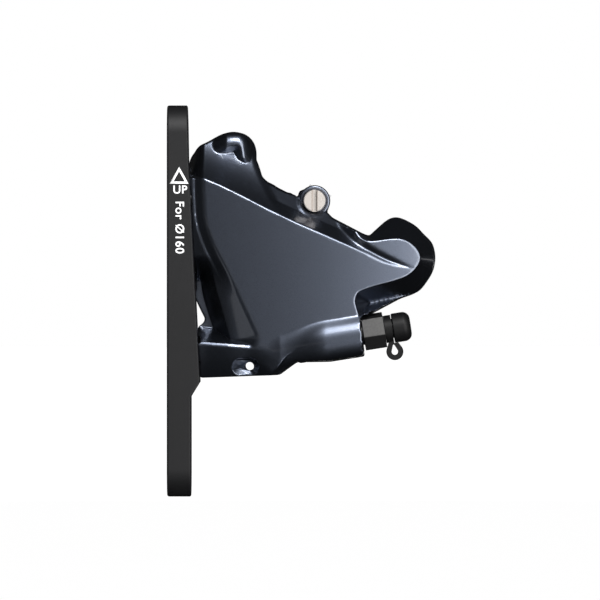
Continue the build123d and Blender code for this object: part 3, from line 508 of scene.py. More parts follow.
def turned_stainless():
    """Stainless steel turned on a lathe: pale and softly lit, with painted brown shade along the slot's edges.
    """
    material, tree, place = start_material("turned_stainless")
    # Turning marks are about 0.1 mm; drawn at 0.25 mm so that they show
    marks = add_node(tree, "TexNoise", {"Vector": place, "Scale": 4.0, "Detail": 4.0})
    # Painted shade: distance from the slot's edges, and the part of the head that the brown shade reaches
    split = add_node(tree, "SeparateXYZ", {0: place}).outputs
    lo, hi = (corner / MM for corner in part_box("pad_axle"))
    off = add_node(tree, "Math", {0: split["X"], 1: (lo.x + hi.x) / 2}, operation="SUBTRACT")
    off = add_node(tree, "Math", {0: off}, operation="ABSOLUTE")
    off = add_node(tree, "Math", {0: off, 1: SLOT_HALF}, operation="SUBTRACT")
    off = add_node(tree, "Math", {0: off}, operation="ABSOLUTE")
    full, gone = SLOT_SHADE_WIDTHS
    spread = {"From Min": full, "From Max": gone, "To Min": 1.0, "To Max": 0.0}
    line = add_node(tree, "MapRange", {"Value": off, **spread})
    none, all_of_it = (lo.y + depth for depth in SLOT_SHADE_DEPTHS)
    front = add_node(tree, "MapRange", {"Value": split["Y"], "From Min": none, "From Max": all_of_it})
    slot_shade_share = add_node(tree, "Math", {0: line, 1: front}, operation="MULTIPLY")
    slot_shade_share = add_node(tree, "Math", {0: slot_shade_share, 1: marks}, operation="MULTIPLY")
    tone = add_node(tree, "Mix", {0: slot_shade_share, 6: opaque("stainless"), 7: opaque("stain")}, data_type="RGBA")
    dull = add_node(tree, "MapRange", {"Value": marks, "To Min": 0.40, "To Max": 0.50})
    relief = add_node(tree, "Bump", {"Height": marks, "Strength": 0.2, "Distance": 0.01 * MM})
    look = {"Base Color": tone, "Metallic": 0.7, "Roughness": dull, "Normal": relief}
    return close_material(material, tree, add_node(tree, "BsdfPrincipled", look))


def moulded_rubber():
    """Black rubber moulded in a polished tool: deep black with a soft broad shine."""
    material, tree, place = start_material("moulded_rubber")
    # Grain of the mould is about 0.3 mm
    skin = add_node(tree, "TexNoise", {"Vector": place, "Scale": 3.5, "Detail": 4.0})
    dull = add_node(tree, "MapRange", {"Value": skin, "To Min": 0.42, "To Max": 0.55})
    relief = add_node(tree, "Bump", {"Height": skin, "Strength": 0.25, "Distance": 0.02 * MM})
    look = {"Base Color": opaque("rubber"), "Roughness": dull, "Normal": relief, "IOR": 1.3}
    return close_material(material, tree, add_node(tree, "BsdfPrincipled", look))


def piston_ceramic():
    """Ground ceramic pistons: off-white, smooth, with faint grinding cloud."""
    material, tree, place = start_material("piston_ceramic")
    # Clouds from grinding are about 1 mm across
    clouds = add_node(tree, "TexNoise", {"Vector": place, "Scale": 1.0, "Detail": 4.0})
    tints = {6: opaque("ceramic"), 7: opaque("ceramic_dark")}
    tone = add_node(tree, "Mix", {0: clouds, **tints}, data_type="RGBA")
    shader = add_node(tree, "BsdfPrincipled", {"Base Color": tone, "Roughness": 0.32, "IOR": 1.6})
    return close_material(material, tree, shader)


def stamped_steel():
    """Steel plate stamped and tumbled: satin grey with small scuffs."""
    material, tree, place = start_material("stamped_steel")
    # Scuffs from tumbling are about 0.4 mm
    scuffs = add_node(tree, "TexNoise", {"Vector": place, "Scale": 2.5, "Detail": 5.0})
    dull = add_node(tree, "MapRange", {"Value": scuffs, "To Min": 0.3, "To Max": 0.55})
    relief = add_node(tree, "Bump", {"Height": scuffs, "Strength": 0.3, "Distance": 0.02 * MM})
    look = {"Base Color": opaque("pad_steel"), "Metallic": 1.0, "Roughness": dull, "Normal": relief}
    return close_material(material, tree, add_node(tree, "BsdfPrincipled", look))


def lining_compound():
    """Moulded resin compound with metal flecks: brown-black and rough."""
    material, tree, place = start_material("lining_compound")
    # Flecks lie about 0.4 mm apart, and the resin's grain is about 0.2 mm
    cells = add_node(tree, "TexVoronoi", {"Vector": place, "Scale": 2.4})
    spread = {"From Min": 0.12, "From Max": 0.2, "To Min": 1.0, "To Max": 0.0}
    fleck = add_node(tree, "MapRange", {"Value": cells, **spread})
    tone = add_node(tree, "Mix", {0: fleck, 6: opaque("lining"), 7: opaque("fleck")}, data_type="RGBA")
    rough = add_node(tree, "TexNoise", {"Vector": place, "Scale": 5.0, "Detail": 4.0})
    relief = add_node(tree, "Bump", {"Height": rough, "Strength": 0.7, "Distance": 0.05 * MM})
    shader = add_node(tree, "BsdfPrincipled", {"Base Color": tone, "Roughness": 0.8, "Normal": relief})
    return close_material(material, tree, shader)


def spring_steel():
    """Cold rolled spring strip: bright, with faint marks from the rolls."""
    material, tree, place = start_material("spring_steel")
    # Marks of the rolls are about 0.1 mm; drawn at 0.3 mm so that they show
    marks = add_node(tree, "TexNoise", {"Vector": place, "Scale": 3.0, "Detail": 4.0})
    dull = add_node(tree, "MapRange", {"Value": marks, "To Min": 0.22, "To Max": 0.38})
    look = {"Base Color": opaque("spring"), "Metallic": 1.0, "Roughness": dull}
    return close_material(material, tree, add_node(tree, "BsdfPrincipled", look))


def baked_mesh(piece):
    """The mesh of a piece with its modifiers applied."""
    graph = bpy.context.evaluated_depsgraph_get()
    return bpy.data.meshes.new_from_object(piece.evaluated_get(graph), depsgraph=graph)


def show(name, mesh, material, body, slot, *nodes):
    """Put a mesh in the scene as a piece that rides on a body, in place of the nodes named."""
    piece = bpy.data.objects.new(name, mesh)
    bpy.context.scene.collection.objects.link(piece)
    mesh.materials.clear()
    mesh.materials.append(material)
    mesh.shade_smooth()
    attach(piece, body)
    if nodes:
        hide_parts(*nodes)
    return piece


def show_half(name, mesh, node):
    """Put a lacquered half in the scene in place of its node."""
    show(name, mesh, finish(metallic_lacquer), BODY_OF[node], SLOT_OF[node], node)


def changed(mesh, kind, **settings):
    """A mesh after one modifier with its settings."""
    work = bpy.data.objects.new("work", mesh)
    bpy.context.scene.collection.objects.link(work)
    modifier = work.modifiers.new("change", kind)
    for name, value in settings.items():
        setattr(modifier, name, value)
    result = baked_mesh(work)
    bpy.data.objects.remove(work)
    return result


def evened(mesh, step):
    """A mesh's volume skinned again at an even spacing."""
    return changed(mesh, "REMESH", mode="VOXEL", voxel_size=step)


def smoothed(mesh, passes):
    """A mesh after passes of smoothing."""
    return changed(mesh, "SMOOTH", factor=0.5, iterations=passes)


def cut(mesh, cutter):
    """A mesh with a cutter's volume taken out."""
    tool = bpy.data.objects.new("cutter", cutter)
    bpy.context.scene.collection.objects.link(tool)
    skin = changed(mesh, "BOOLEAN", operation="DIFFERENCE", solver="MANIFOLD", object=tool)
    bpy.data.objects.remove(tool)
    if len(skin.polygons) < len(mesh.polygons) / 2:
        raise RuntimeError("the cut took the whole mesh away")
    return skin


def points_of(mesh):
    """A mesh's points in millimetres, one row each."""
    flat = np.empty(len(mesh.vertices) * 3)
    mesh.vertices.foreach_get("co", flat)
    return flat.reshape(-1, 3) / MM


def put_points(mesh, points):
    """Move a mesh's points to rows of millimetres."""
    mesh.vertices.foreach_set("co", (points * MM).ravel())
    mesh.update()


def normals_of(mesh):
    """The directions that a mesh's points face."""
    flat = np.empty(len(mesh.vertices) * 3)
    mesh.vertex_normals.foreach_get("vector", flat)
    return flat.reshape(-1, 3)


def traced(points, passes=1):
    """Places in the photograph as (x, z) in millimetres of the frame, corners between them cut in passes."""
    line = [
        ((px - ORIGIN_PX[0]) / PHOTO_SCALE / MM, (ORIGIN_PX[1] - py) / PHOTO_SCALE / MM) for px, py in points
    ]
    for _ in range(passes):
        rounded = [line[0]]
        for (ax, az), (bx, bz) in zip(line, line[1:]):
            rounded += [(ax + (bx - ax) * share, az + (bz - az) * share) for share in (0.25, 0.75)]
        line = [*rounded, line[-1]]
    return line


def away(line, x, z):
    """Distance from a line of points, positive on the left of its run; its ends run on straight."""
    (ax, az), (bx, bz) = line[0], line[1]
    (cx, cz), (dx, dz) = line[-2], line[-1]
    first = (ax + (ax - bx) * RUN_ON, az + (az - bz) * RUN_ON)
    last = (dx + (dx - cx) * RUN_ON, dz + (dz - cz) * RUN_ON)
    line = [first, *line[1:-1], last]
    nearest = np.full(x.shape, np.inf)
    side = np.ones(x.shape)
    for (ax, az), (bx, bz) in zip(line, line[1:]):
        ux, uz = bx - ax, bz - az
        share = np.clip(((x - ax) * ux + (z - az) * uz) / (ux * ux + uz * uz), 0, 1)
        off_x, off_z = x - ax - share * ux, z - az - share * uz
        reach = np.hypot(off_x, off_z)
        nearer = reach < nearest
        nearest = np.where(nearer, reach, nearest)
        side = np.where(nearer, np.where(ux * off_z - uz * off_x >= 0, 1, -1), side)
    return nearest * side


def beyond(outline, x, z):
    """Distance outside a closed outline, negative inside it."""
    nearest = np.full(x.shape, np.inf)
    inside = np.zeros(x.shape, bool)
    for (ax, az), (bx, bz) in zip(outline, outline[1:] + outline[:1]):
        ux, uz = bx - ax, bz - az
        share = np.clip(((x - ax) * ux + (z - az) * uz) / (ux * ux + uz * uz), 0, 1)
        nearest = np.minimum(nearest, np.hypot(x - ax - share * ux, z - az - share * uz))
        if az != bz:
            inside ^= ((az > z) != (bz > z)) & (x < ux * (z - az) / uz + ax)
    return np.where(inside, -nearest, nearest)


def joined(a, b, radius):
    """The nearer of two depths, with a hollow of a radius where they meet."""
    share = np.clip(0.5 + 0.5 * (b - a) / radius, 0, 1)
    return b + (a - b) * share - radius * share * (1 - share)


def trimmed(a, b, radius):
    """The deeper of two depths, with a round of a radius where they meet."""
    return -joined(-a, -b, radius)


def eased(low, high, value):
    """A smooth step from 0 at one value to 1 at another."""
    share = np.clip((value - low) / (high - low), 0, 1)
    return share * share * (3 - 2 * share)


def nudged(points):
    """Points after the small moves of the outline."""
    points = points.copy()
    x, z = points[:, 0].copy(), points[:, 2].copy()
    for at_x, at_z, move_x, move_z, reach in OUTLINE_MOVES:
        share = 1 - eased(0, reach, np.hypot(x - at_x, z - at_z))
        points[:, 0] += move_x * share
        points[:, 2] += move_z * share
    return points


def above_ridge(x, z, base, left):
    """Depth of the bowl, the horn's bead and the roof, which lie above the ridge."""
    ridge = away(traced(RIDGE_PX), x, z)
    into_horn = -away(traced(HORN_PX), x, z)
    flank = away(traced(FLANK_PX), x, z)
    # Bowl
    steep, flat = BOWL_SLOPES
    up = np.maximum(ridge, 0)
    bowl = flat * up + (steep - flat) * (up - np.minimum(up, BOWL_REACH) ** 2 / BOWL_REACH / 2)
    bowl = np.where(up > BOWL_REACH, flat * up + (steep - flat) * BOWL_REACH / 2, bowl)
    bowl = base + np.where(ridge > 0, bowl, CLEAR * ridge)
    # Horn's bead over the bowl
    narrow = eased(*HORN_THIN_X, x) * (1 - eased(*HORN_THIN_Z, z))
    bend = HORN_ROUND - (HORN_ROUND - HORN_THIN) * narrow
    off = into_horn - bend
    bead = bend - np.sqrt(np.maximum(bend ** 2 - np.clip(off, -bend, 0) ** 2, 0))
    horn = FACE_Y + HORN_BACK + HORN_SINK * narrow + bead + HORN_UNDER * np.maximum(off, 0) ** 2
    sides = HORN_LEFT_SLOPE * np.maximum(HORN_LEFT_X - x, 0)
    sides = sides + HORN_RIGHT_BEND * np.maximum(x - HORN_RIGHT_X, 0) ** 2
    horn = horn + sides * (1 - narrow)
    bowl = np.where(ridge > HORN_OVER_RIDGE, joined(bowl, horn, HORN_FILLET), bowl)
    # Roof right of the flank, and the shoulder at the left
    near, far = ROOF_SLOPES
    roof = near * np.minimum(ridge, ROOF_BREAK) + far * np.maximum(ridge - ROOF_BREAK, 0)
    roof = base + roof * (1 - (1 - ROOF_EASE_SHARE) * eased(*ROOF_EASE, x) * (ridge > 0))
    over = bowl + (roof - bowl) * eased(*FLANK_RANGE, flank)
    shoulder = SHOULDER_BEND * np.maximum(left + SHOULDER_START, 0) ** 2
    return over + shoulder * eased(*SHOULDER_RANGE, ridge)


def beside_face(x, z, left):
    """How far the column, the facet and the pocket left of the face lie behind it."""
    facet_foot = -away(traced(FACET_FOOT_PX), x, z)
    side, over_bead, past_bead = COLUMN_SLOPES
    wide, bead = COLUMN_WIDTHS
    column = side * np.minimum(left, wide) + over_bead * np.clip(left - wide, 0, bead)
    column = column + past_bead * np.maximum(left - wide - bead, 0)
    high, low = FACET_SLOPES
    facet = (low + (high - low) * eased(*FACET_HEIGHTS, z)) * left + POCKET_SLOPE * np.maximum(facet_foot, 0)
    facet = np.minimum(facet, POCKET_DEPTH)
    return facet + (column - facet) * eased(*POCKET_HEIGHTS, z)


def barrel_depth(x, z):
    """Depth of the barrel, round about an axis that leans a little in the photograph."""
    tilt = math.radians(BARREL_TILT)
    off_x, off_z = x - BARREL_END[0], z - BARREL_END[1]
    across = off_z * math.cos(tilt) - off_x * math.sin(tilt)
    middle = BARREL_Y[0] + (BARREL_Y[1] - BARREL_Y[0]) * eased(*BARREL_RANGE, x)
    middle = middle + BARREL_SINK * np.maximum(BARREL_RANGE[0] - x, 0)
    inside = np.sqrt(np.maximum(BARREL_ROUND ** 2 - across ** 2, 0))
    return middle - BARREL_FLAT * inside + CLEAR * np.maximum(np.abs(across) - BARREL_ROUND, 0)


def outer_depth(x, z):
    """How deep the outer half's front lies behind (x, z), in millimetres of the frame."""
    left = -away(traced(FACE_LEFT_PX), x, z)
    below_ledge = -away(traced(FOOT_TOP_PX), x, z)
    past_barrel = away(traced(BARREL_PX), x, z)
    past_rim = beyond(traced(RIM_PX, 2) + traced(RIM_CLOSE_PX, 0), x, z)
    below_groove = away(traced(GROOVE_PX), x, z)
    # Face with its crown and the roll of the foot in its lower left
    under = np.maximum(below_ledge, 0)
    roll = FOOT_DROP[0] * under + FOOT_DROP[1] * under * under
    foot_share = 1 - eased(*FOOT_RANGE, x - FOOT_MIDDLE[0] + (z - FOOT_MIDDLE[1]) * FOOT_LEAN)
    base = FACE_Y + np.where(x < CROWN_X, *FACE_CROWNS) * (x - CROWN_X) ** 2
    depth = base + roll * foot_share
    depth = trimmed(depth, above_ridge(x, z, base, left), CREASE_ROUND)
    depth = trimmed(depth, base + beside_face(x, z, left), CREASE_ROUND)
    # Bands that fall away past the rim of the nose and the right edge, and the tongue above the groove
    band_share = np.maximum(eased(*RIM_FADE, x), 1 - eased(*RIM_LOW, z))
    past = np.where(past_rim > 0, past_rim * band_share, np.maximum(past_rim, -RIM_INSIDE))
    band = base + RIM_SLOPE * past
    depth = trimmed(depth, band, CREASE_ROUND)
    tongue = base + TONGUE_SINK_BEND * np.maximum(TONGUE_SINK_X - x, 0) ** 2
    tongue = trimmed(tongue, tongue + GROOVE_SLOPE * below_groove, TONGUE_ROUND)
    tongue = trimmed(tongue, band, CREASE_ROUND)
    (wide, tight, least), (first, second) = TONGUE_BLENDS, TONGUE_RANGES
    blend = wide + (tight - wide) * eased(*first, x) - (tight - least) * eased(*second, x)
    depth = joined(depth, tongue, blend)
    # Barrel: it stands out of the face at its right and comes out under the face's edge at its left
    cover = BARREL_COVER * eased(*BARREL_COVER_RANGE, x)
    depth = depth + CLEAR * np.maximum(past_barrel - cover, 0)
    depth = joined(depth, barrel_depth(x, z), BARREL_FILLET)
    # Foot: a rolled front under a rounded ledge
    stand = base - FOOT_STAND * (1 - eased(*FOOT_STAND_RANGE, x))
    ledge = LEDGE_SLOPES[0] * (LEDGE_HEIGHT - below_ledge) + LEDGE_SLOPES[1] * np.maximum(-below_ledge, 0)
    foot = trimmed(stand + roll, stand + ledge, LEDGE_ROUND)
    return joined(depth, foot, CREASE_ROUND)


def forged_front(node, step):
    """The outer half's skin with the forged forms of its front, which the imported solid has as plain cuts."""
    lo, hi = (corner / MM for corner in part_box(node))
    mesh = evened(frame["nodes"][node].data.copy(), step * FIRST_SKIN_SHARE)
    points, facing = nudged(points_of(mesh)), normals_of(mesh)
    tree = BVHTree.FromPolygons(
        [tuple(p) for p in points], [tuple(face.vertices) for face in mesh.polygons]
    )
    outward = Vector((0, -1, 0))
    # Grid of the silhouette, and the places well inside it
    grid = step / MM
    columns, rows = int((hi.x - lo.x) / grid) + 3, int((hi.z - lo.z) / grid) + 3
    solid = np.zeros((columns, rows), bool)
    for i in range(columns):
        for k in range(rows):
            start = Vector((lo.x + (i - 1) * grid, lo.y - CLEAR, lo.z + (k - 1) * grid))
            solid[i, k] = tree.ray_cast(start, -outward)[0] is not None
    inner = solid.copy()
    for shift in ((1, 0), (-1, 0), (0, 1), (0, -1), (1, 1), (-1, -1), (1, -1), (-1, 1)):
        inner &= np.roll(solid, shift, (0, 1))
    axle_lo, axle_hi = (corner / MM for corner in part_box("pad_axle"))
    axle = (axle_lo + axle_hi) / 2

    def well_inside(points):
        """Which points lie on the grid's inner places."""
        i = np.clip(np.rint((points[:, 0] - lo.x) / grid).astype(int) + 1, 0, columns - 1)
        k = np.clip(np.rint((points[:, 2] - lo.z) / grid).astype(int) + 1, 0, rows - 1)
        return inner[i, k]

    def off_axle(points):
        """How far points lie from the pad axle's middle."""
        return np.hypot(points[:, 0] - axle.x, points[:, 2] - axle.z)

    seen = np.array([
        tree.ray_cast(Vector(p + n * RAY_START), outward)[0] is None for p, n in zip(points, facing)
    ])
    # Set the front on the forms, but for the pad axle's boss, which keeps its own
    depth = outer_depth(points[:, 0], points[:, 2])
    moved = np.where(seen & well_inside(points), depth, np.maximum(points[:, 1], depth))
    keep = 1 - eased(*BOSS_RANGE, off_axle(points))
    points[:, 1] = np.where(seen, points[:, 1] * keep + moved * (1 - keep), points[:, 1])
    put_points(mesh, points)
    # Skin it again, then set the front on the forms once more
    mesh = evened(mesh, step)
    points, facing = points_of(mesh), normals_of(mesh)
    depth = outer_depth(points[:, 0], points[:, 2])
    near = (np.abs(points[:, 1] - depth) < SETTLE_REACH) & (facing[:, 1] < SETTLE_FACING)
    near &= well_inside(points) & (off_axle(points) > BOSS_RANGE[1])
    points[:, 1] = np.where(near, depth, points[:, 1])
    put_points(mesh, points)
    return mesh


def machined(node, maker, edge):
    """Give a CAD node its finish and a small break on its sharp edges."""
    piece = frame["nodes"][node]
    piece.data.materials.clear()
    piece.data.materials.append(finish(maker))
    weld = piece.modifiers.new("weld", "WELD")
    weld.merge_threshold = WELD_GAP * MM
    flats = piece.modifiers.new("flats", "DECIMATE")
    flats.decimate_type = "DISSOLVE"
    flats.angle_limit = math.radians(SEAM_ANGLE)
    broken = piece.modifiers.new("edges", "BEVEL")
    broken.width = edge
    broken.segments = 3
    broken.limit_method = "ANGLE"
    broken.angle_limit = math.radians(EDGE_ANGLE)
    broken.harden_normals = False
    piece.data.shade_smooth()
    even = piece.modifiers.new("normals", "WEIGHTED_NORMAL")
    even.keep_sharp = False


def made_mesh(name, shape):
    """The mesh of a shape that is done with."""
    mesh = bpy.data.meshes.new(name)
    shape.to_mesh(mesh)
    shape.free()
    return mesh


def ring(centre, radius, steps):
    """Points round a circle that faces along Y."""
    turns = [2 * math.pi * k / steps for k in range(steps)]
    return [centre + Vector((math.cos(turn), 0, math.sin(turn))) * radius for turn in turns]


def lofted(rows):
    """The mesh through rings with as many points each; ends that stay open are closed with a flat."""
    shape = bmesh.new()
    rings = [[shape.verts.new(point) for point in row] for row in rows]
    for low, high in zip(rings, rings[1:]):
        for k in range(len(low)):
            following = (k + 1) % len(low)
            shape.faces.new((low[k], low[following], high[following], high[k]))
    closed = (rows[0][0] - rows[-1][0]).length < MM / 1000
    if not closed:
        shape.faces.new(rings[0])
        shape.faces.new(rings[-1])
    bmesh.ops.remove_doubles(shape, verts=shape.verts, dist=MM / 1000)
    bmesh.ops.recalc_face_normals(shape, faces=shape.faces)
    return made_mesh("lofted", shape)


def stadium(middle_x, middle_z, long, wide, grow, depth, steps=40):
    """Points round a slot's outline grown by a width, each at a depth behind the outer half's front."""
    row = []
    for k in range(steps):
        turn = 2 * math.pi * (k + 0.5) / steps
        x = middle_x + math.copysign((long - wide) / 2, math.cos(turn)) + (wide / 2 + grow) * math.cos(turn)
        row.append((x, middle_z + (wide / 2 + grow) * math.sin(turn)))
    x, z = (np.array(values) for values in zip(*row))
    y = outer_depth(x, z) + depth
    return [Vector(point) * MM for point in zip(x, y, z)]


def filled(outline, depth_low, depth_high, holes):
    """The mesh of a flat outline of (x, z) between two depths along Y, with holes."""
    shape = bmesh.new()
    edges = []
    for loop in (outline, *holes):
        corners = [shape.verts.new((x, depth_low, z)) for x, z in loop]
        edges += [shape.edges.new((a, b)) for a, b in zip(corners, corners[1:] + corners[:1])]
    bmesh.ops.triangle_fill(shape, use_beauty=True, edges=edges)
    grown = bmesh.ops.extrude_face_region(shape, geom=shape.faces[:])["geom"]
    moved = [v for v in grown if isinstance(v, bmesh.types.BMVert)]
    bmesh.ops.translate(shape, verts=moved, vec=(0, depth_high - depth_low, 0))
    bmesh.ops.recalc_face_normals(shape, faces=shape.faces)
    return made_mesh("filled", shape)


def lettered(words, height, centre, turn, thickness):
    """The mesh of printed words, their capitals a height tall, that face the outer side."""
    curve = bpy.data.curves.new("words", "FONT")
    curve.body = words
    curve.align_x, curve.align_y = "CENTER", "CENTER"
    curve.size = height / CAPITAL_SHARE
    curve.space_character = LETTER_SPACE
    curve.extrude = thickness / 2
    curve.offset = BOLD * MM
    work = bpy.data.objects.new("words", curve)
    bpy.context.scene.collection.objects.link(work)
    bpy.context.view_layer.update()
    mesh = baked_mesh(work)
    bpy.data.objects.remove(work)
    upright = Matrix.Rotation(turn, 4, "Y") @ Matrix.Rotation(math.pi / 2, 4, "X")
    mesh.transform(Matrix.Translation(centre) @ upright)
    return mesh


def place_floor(middle, z):
    """Add the floor, white to the camera but for the object's shadow, and the dark tent and card."""
    floor_mesh = bpy.data.meshes.new("floor")
    corners = [(x * FLOOR_REACH, y * FLOOR_REACH, z) for x, y in ((-1, -1), (1, -1), (1, 1), (-1, 1))]
    floor_mesh.from_pydata(corners, [], [(0, 1, 2, 3)])
    floor = bpy.data.objects.new("floor", floor_mesh)
    bpy.context.scene.collection.objects.link(floor)
    material, tree, place = start_material("floor_paper")
    pulp = add_node(tree, "TexNoise", {"Vector": place, "Scale": 0.02, "Detail": 3.0})
    dull = add_node(tree, "MapRange", {"Value": pulp, "To Min": 0.85, "To Max": 0.95})
    paper = add_node(tree, "BsdfPrincipled", {"Base Color": opaque("floor"), "Roughness": dull})
    glow = add_node(tree, "Emission", {"Color": (1, 1, 1, 1), "Strength": FLOOR_GLOW})
    lifted = add_node(tree, "AddShader", {0: paper, 1: glow})
    to_camera = add_node(tree, "LightPath").outputs["Is Camera Ray"]
    mixed = add_node(tree, "MixShader", {0: to_camera, 1: paper, 2: lifted})
    floor_mesh.materials.append(close_material(material, tree, mixed))
    # Dark tent and a dark card over the floor, which only reflections see
    cloth, tree, place = start_material("black_cloth")
    close_material(cloth, tree, add_node(tree, "Emission", {"Color": (1, 1, 1, 1), "Strength": TENT_GLOW}))
    card_drop = middle.z - z - CARD_GAP
    for name, radius, drop in (("dark_tent", TENT_RADIUS, 0), ("dark_card", CARD_REACH, card_drop)):
        shape = bmesh.new()
        if drop:
            bmesh.ops.create_circle(shape, cap_ends=True, segments=48, radius=radius)
        else:
            bmesh.ops.create_uvsphere(shape, u_segments=48, v_segments=24, radius=radius)
        bmesh.ops.translate(shape, verts=shape.verts, vec=middle - Vector((0, 0, drop)))
        mesh = made_mesh(name, shape)
        mesh.materials.append(cloth)
        dark = bpy.data.objects.new(name, mesh)
        bpy.context.scene.collection.objects.link(dark)
        for ray in ("camera", "diffuse", "shadow", "transmission", "volume_scatter"):
            setattr(dark, "visible_" + ray, False)


class CALIPER_OT_stage(bpy.types.Operator):
    """Add the floor, the world, the lamps and the camera"""

    bl_idname = "caliper.stage"
    bl_label = "Stage"

    def execute(self, context):
        scene = context.scene
        scene.view_settings.view_transform = "Standard"
        lo, hi = CAD_BOX
        middle = (lo + hi) / 2
        # World: white to the camera and in reflections, a plain grey light on the object
        world = bpy.data.worlds.new("studio")
        scene.world = world
        world.use_nodes = True
        tree = world.node_tree
        tree.nodes.clear()
        path = add_node(tree, "LightPath").outputs
        seen = {0: path["Is Camera Ray"], 1: path["Is Transmission Ray"]}
        seen = {0: add_node(tree, "Math", seen, operation="MAXIMUM"), 1: path["Is Glossy Ray"]}
        seen = add_node(tree, "Math", seen, operation="MAXIMUM")
        strength = add_node(tree, "MapRange", {"Value": seen, "To Min": WORLD_LIGHT, "To Max": 1.0})
        light = add_node(tree, "Background", {"Color": (1, 1, 1, 1), "Strength": strength})
        add_node(tree, "OutputWorld", {"Surface": light})
        place_floor(middle, lo.z - sizes().floor_drop)
        # Lamps, each aimed at the caliper
        for name, place, width, height, power in LAMPS:
            data = bpy.data.lights.new(name, "AREA")
            data.shape = "RECTANGLE"
            data.size, data.size_y = width, height
            data.energy = power
            lamp = bpy.data.objects.new(name, data)
            scene.collection.objects.link(lamp)
            lamp.location = middle + Vector(place)
            lamp.rotation_mode = "QUATERNION"
            lamp.rotation_quaternion = Vector(place).to_track_quat("Z", "Y")
            lamp.visible_camera = False
        # Camera square on the outer side, as far off as a long lens needs
        camera = bpy.data.cameras.new("camera")
        camera.sensor_width = FILM_WIDTH
        camera.lens = FILM_WIDTH * sizes().camera_distance / (PHOTO_SIZE / PHOTO_SCALE)
        camera.clip_end = FAR_CLIP
        eye = bpy.data.objects.new("camera", camera)
        scene.collection.objects.link(eye)
        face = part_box("outer_body")[0].y
        eye.location = at_photo(PHOTO_SIZE / 2, PHOTO_SIZE / 2, face - sizes().camera_distance)
        eye.rotation_euler = (math.pi / 2, 0, 0)
        scene.camera = eye
        return {"FINISHED"}


class CALIPER_OT_plate(bpy.types.Operator):
    """Finish the adapter plate and the two bolts that hold the caliper on it"""

    bl_idname = "caliper.plate"
    bl_label = "Adapter plate"

    def execute(self, context):
        machined("mount_bracket", anodised_aluminium, sizes().edge_break * PLATE_EDGE_SHARE)
        machined("bracket_bolts", black_zinc, sizes().edge_break)
        return {"FINISHED"}


class CALIPER_OT_marks(bpy.types.Operator):
    """Print the plain marks on the adapter plate's outer side"""

    bl_idname = "caliper.marks"
    bl_label = "Printed marks"

    def execute(self, context):
        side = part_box("mount_bracket")[0].y
        front = side - sizes().print_height
        ink = finish(printing_ink)
        body = BODY_OF["mount_bracket"]
        # Triangle that points up
        half = sizes().triangle_width / 2
        top = at_photo(*TRIANGLE_TOP_PX, front)
        low = at_photo(*TRIANGLE_LOW_PX, front)
        share = 1 - sizes().triangle_line * TRIANGLE_INSET / half
        outline = [(low.x - half, low.z), (low.x + half, low.z), (top.x, top.z)]
        middle_x = sum(x for x, z in outline) / len(outline)
        middle_z = sum(z for x, z in outline) / len(outline)
        hole = [(middle_x + (x - middle_x) * share, middle_z + (z - middle_z) * share) for x, z in outline]
        show("print_triangle", filled(outline, front, side, [hole]), ink, body, "plate")
        for name, words, pixel, turn, share in PRINTS:
            middle = at_photo(*pixel, (front + side) / 2)
            mesh = lettered(words, sizes().mark_height * share, middle, turn, sizes().print_height)
            show(name, mesh, ink, body, "plate")
        return {"FINISHED"}


class CALIPER_OT_outer_half(bpy.types.Operator):
    """Make the outer half's cast and lacquered surface"""

    bl_idname = "caliper.outer_half"
    bl_label = "Outer half"

    def execute(self, context):
        mesh = smoothed(forged_front("outer_body", sizes().skin_step), OUTER_PASSES)
        # Pin's recesses and its hole
        pin_x, pin_z = PIN_PLACE
        for long, wide, deep, flare in PIN_RECESSES:
            rows = [
                stadium(pin_x - PIN_SHIFT, pin_z, long, wide, grow, depth)
                for grow, depth in ((flare, -CLEAR), (flare, 0.0), (0.0, flare), (0.0, deep))
            ]
            mesh = cut(mesh, lofted(rows))
        hole = ring(Vector((pin_x, 0, pin_z)) * MM, PIN_ROUND * MM, PIN_STEPS)
        lo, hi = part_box("outer_body")
        ends = [[point + Vector((0, depth, 0)) for point in hole] for depth in (lo.y * 2, hi.y * 2)]
        mesh = cut(mesh, lofted(ends))
        show_half("outer_half", mesh, "outer_body")
        # Round collar on the pad axle's boss
        lo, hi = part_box("pad_axle")
        centre = (lo + hi) / 2
        middle, half = BOSS_COLLAR
        tube_steps, ring_steps = COLLAR_STEPS
        rows = []
        for k in range(tube_steps + 1):
            turn = math.pi * 2 * k / tube_steps
            y = BOSS_Y - COLLAR_STAND + half * (1 - math.sin(turn))
            radius = (middle + half * math.cos(turn)) * MM
            rows.append(ring(Vector((centre.x, y * MM, centre.z)), radius, ring_steps))
        body, slot = BODY_OF["outer_body"], SLOT_OF["outer_body"]
        show("boss_collar", lofted(rows), finish(metallic_lacquer), body, slot)
        return {"FINISHED"}


class CALIPER_OT_inner_half(bpy.types.Operator):
    """Make the inner half's cast and lacquered surface"""

    bl_idname = "caliper.inner_half"
    bl_label = "Inner half"

    def execute(self, context):
        mesh = evened(frame["nodes"]["inner_body"].data.copy(), sizes().skin_step * INNER_SKIN_SHARE)
        mesh = smoothed(mesh, INNER_PASSES)
        put_points(mesh, nudged(points_of(mesh)))
        show_half("inner_half", mesh, "inner_body")
        return {"FINISHED"}


class CALIPER_OT_body_bolts(bpy.types.Operator):
    """Finish the bolts that join the halves, and the ring between the halves"""

    bl_idname = "caliper.body_bolts"
    bl_label = "Body bolts"

    def execute(self, context):
        machined("body_bolts", black_zinc, sizes().edge_break)
        machined("crossover_seal", moulded_rubber, sizes().edge_break)
        return {"FINISHED"}


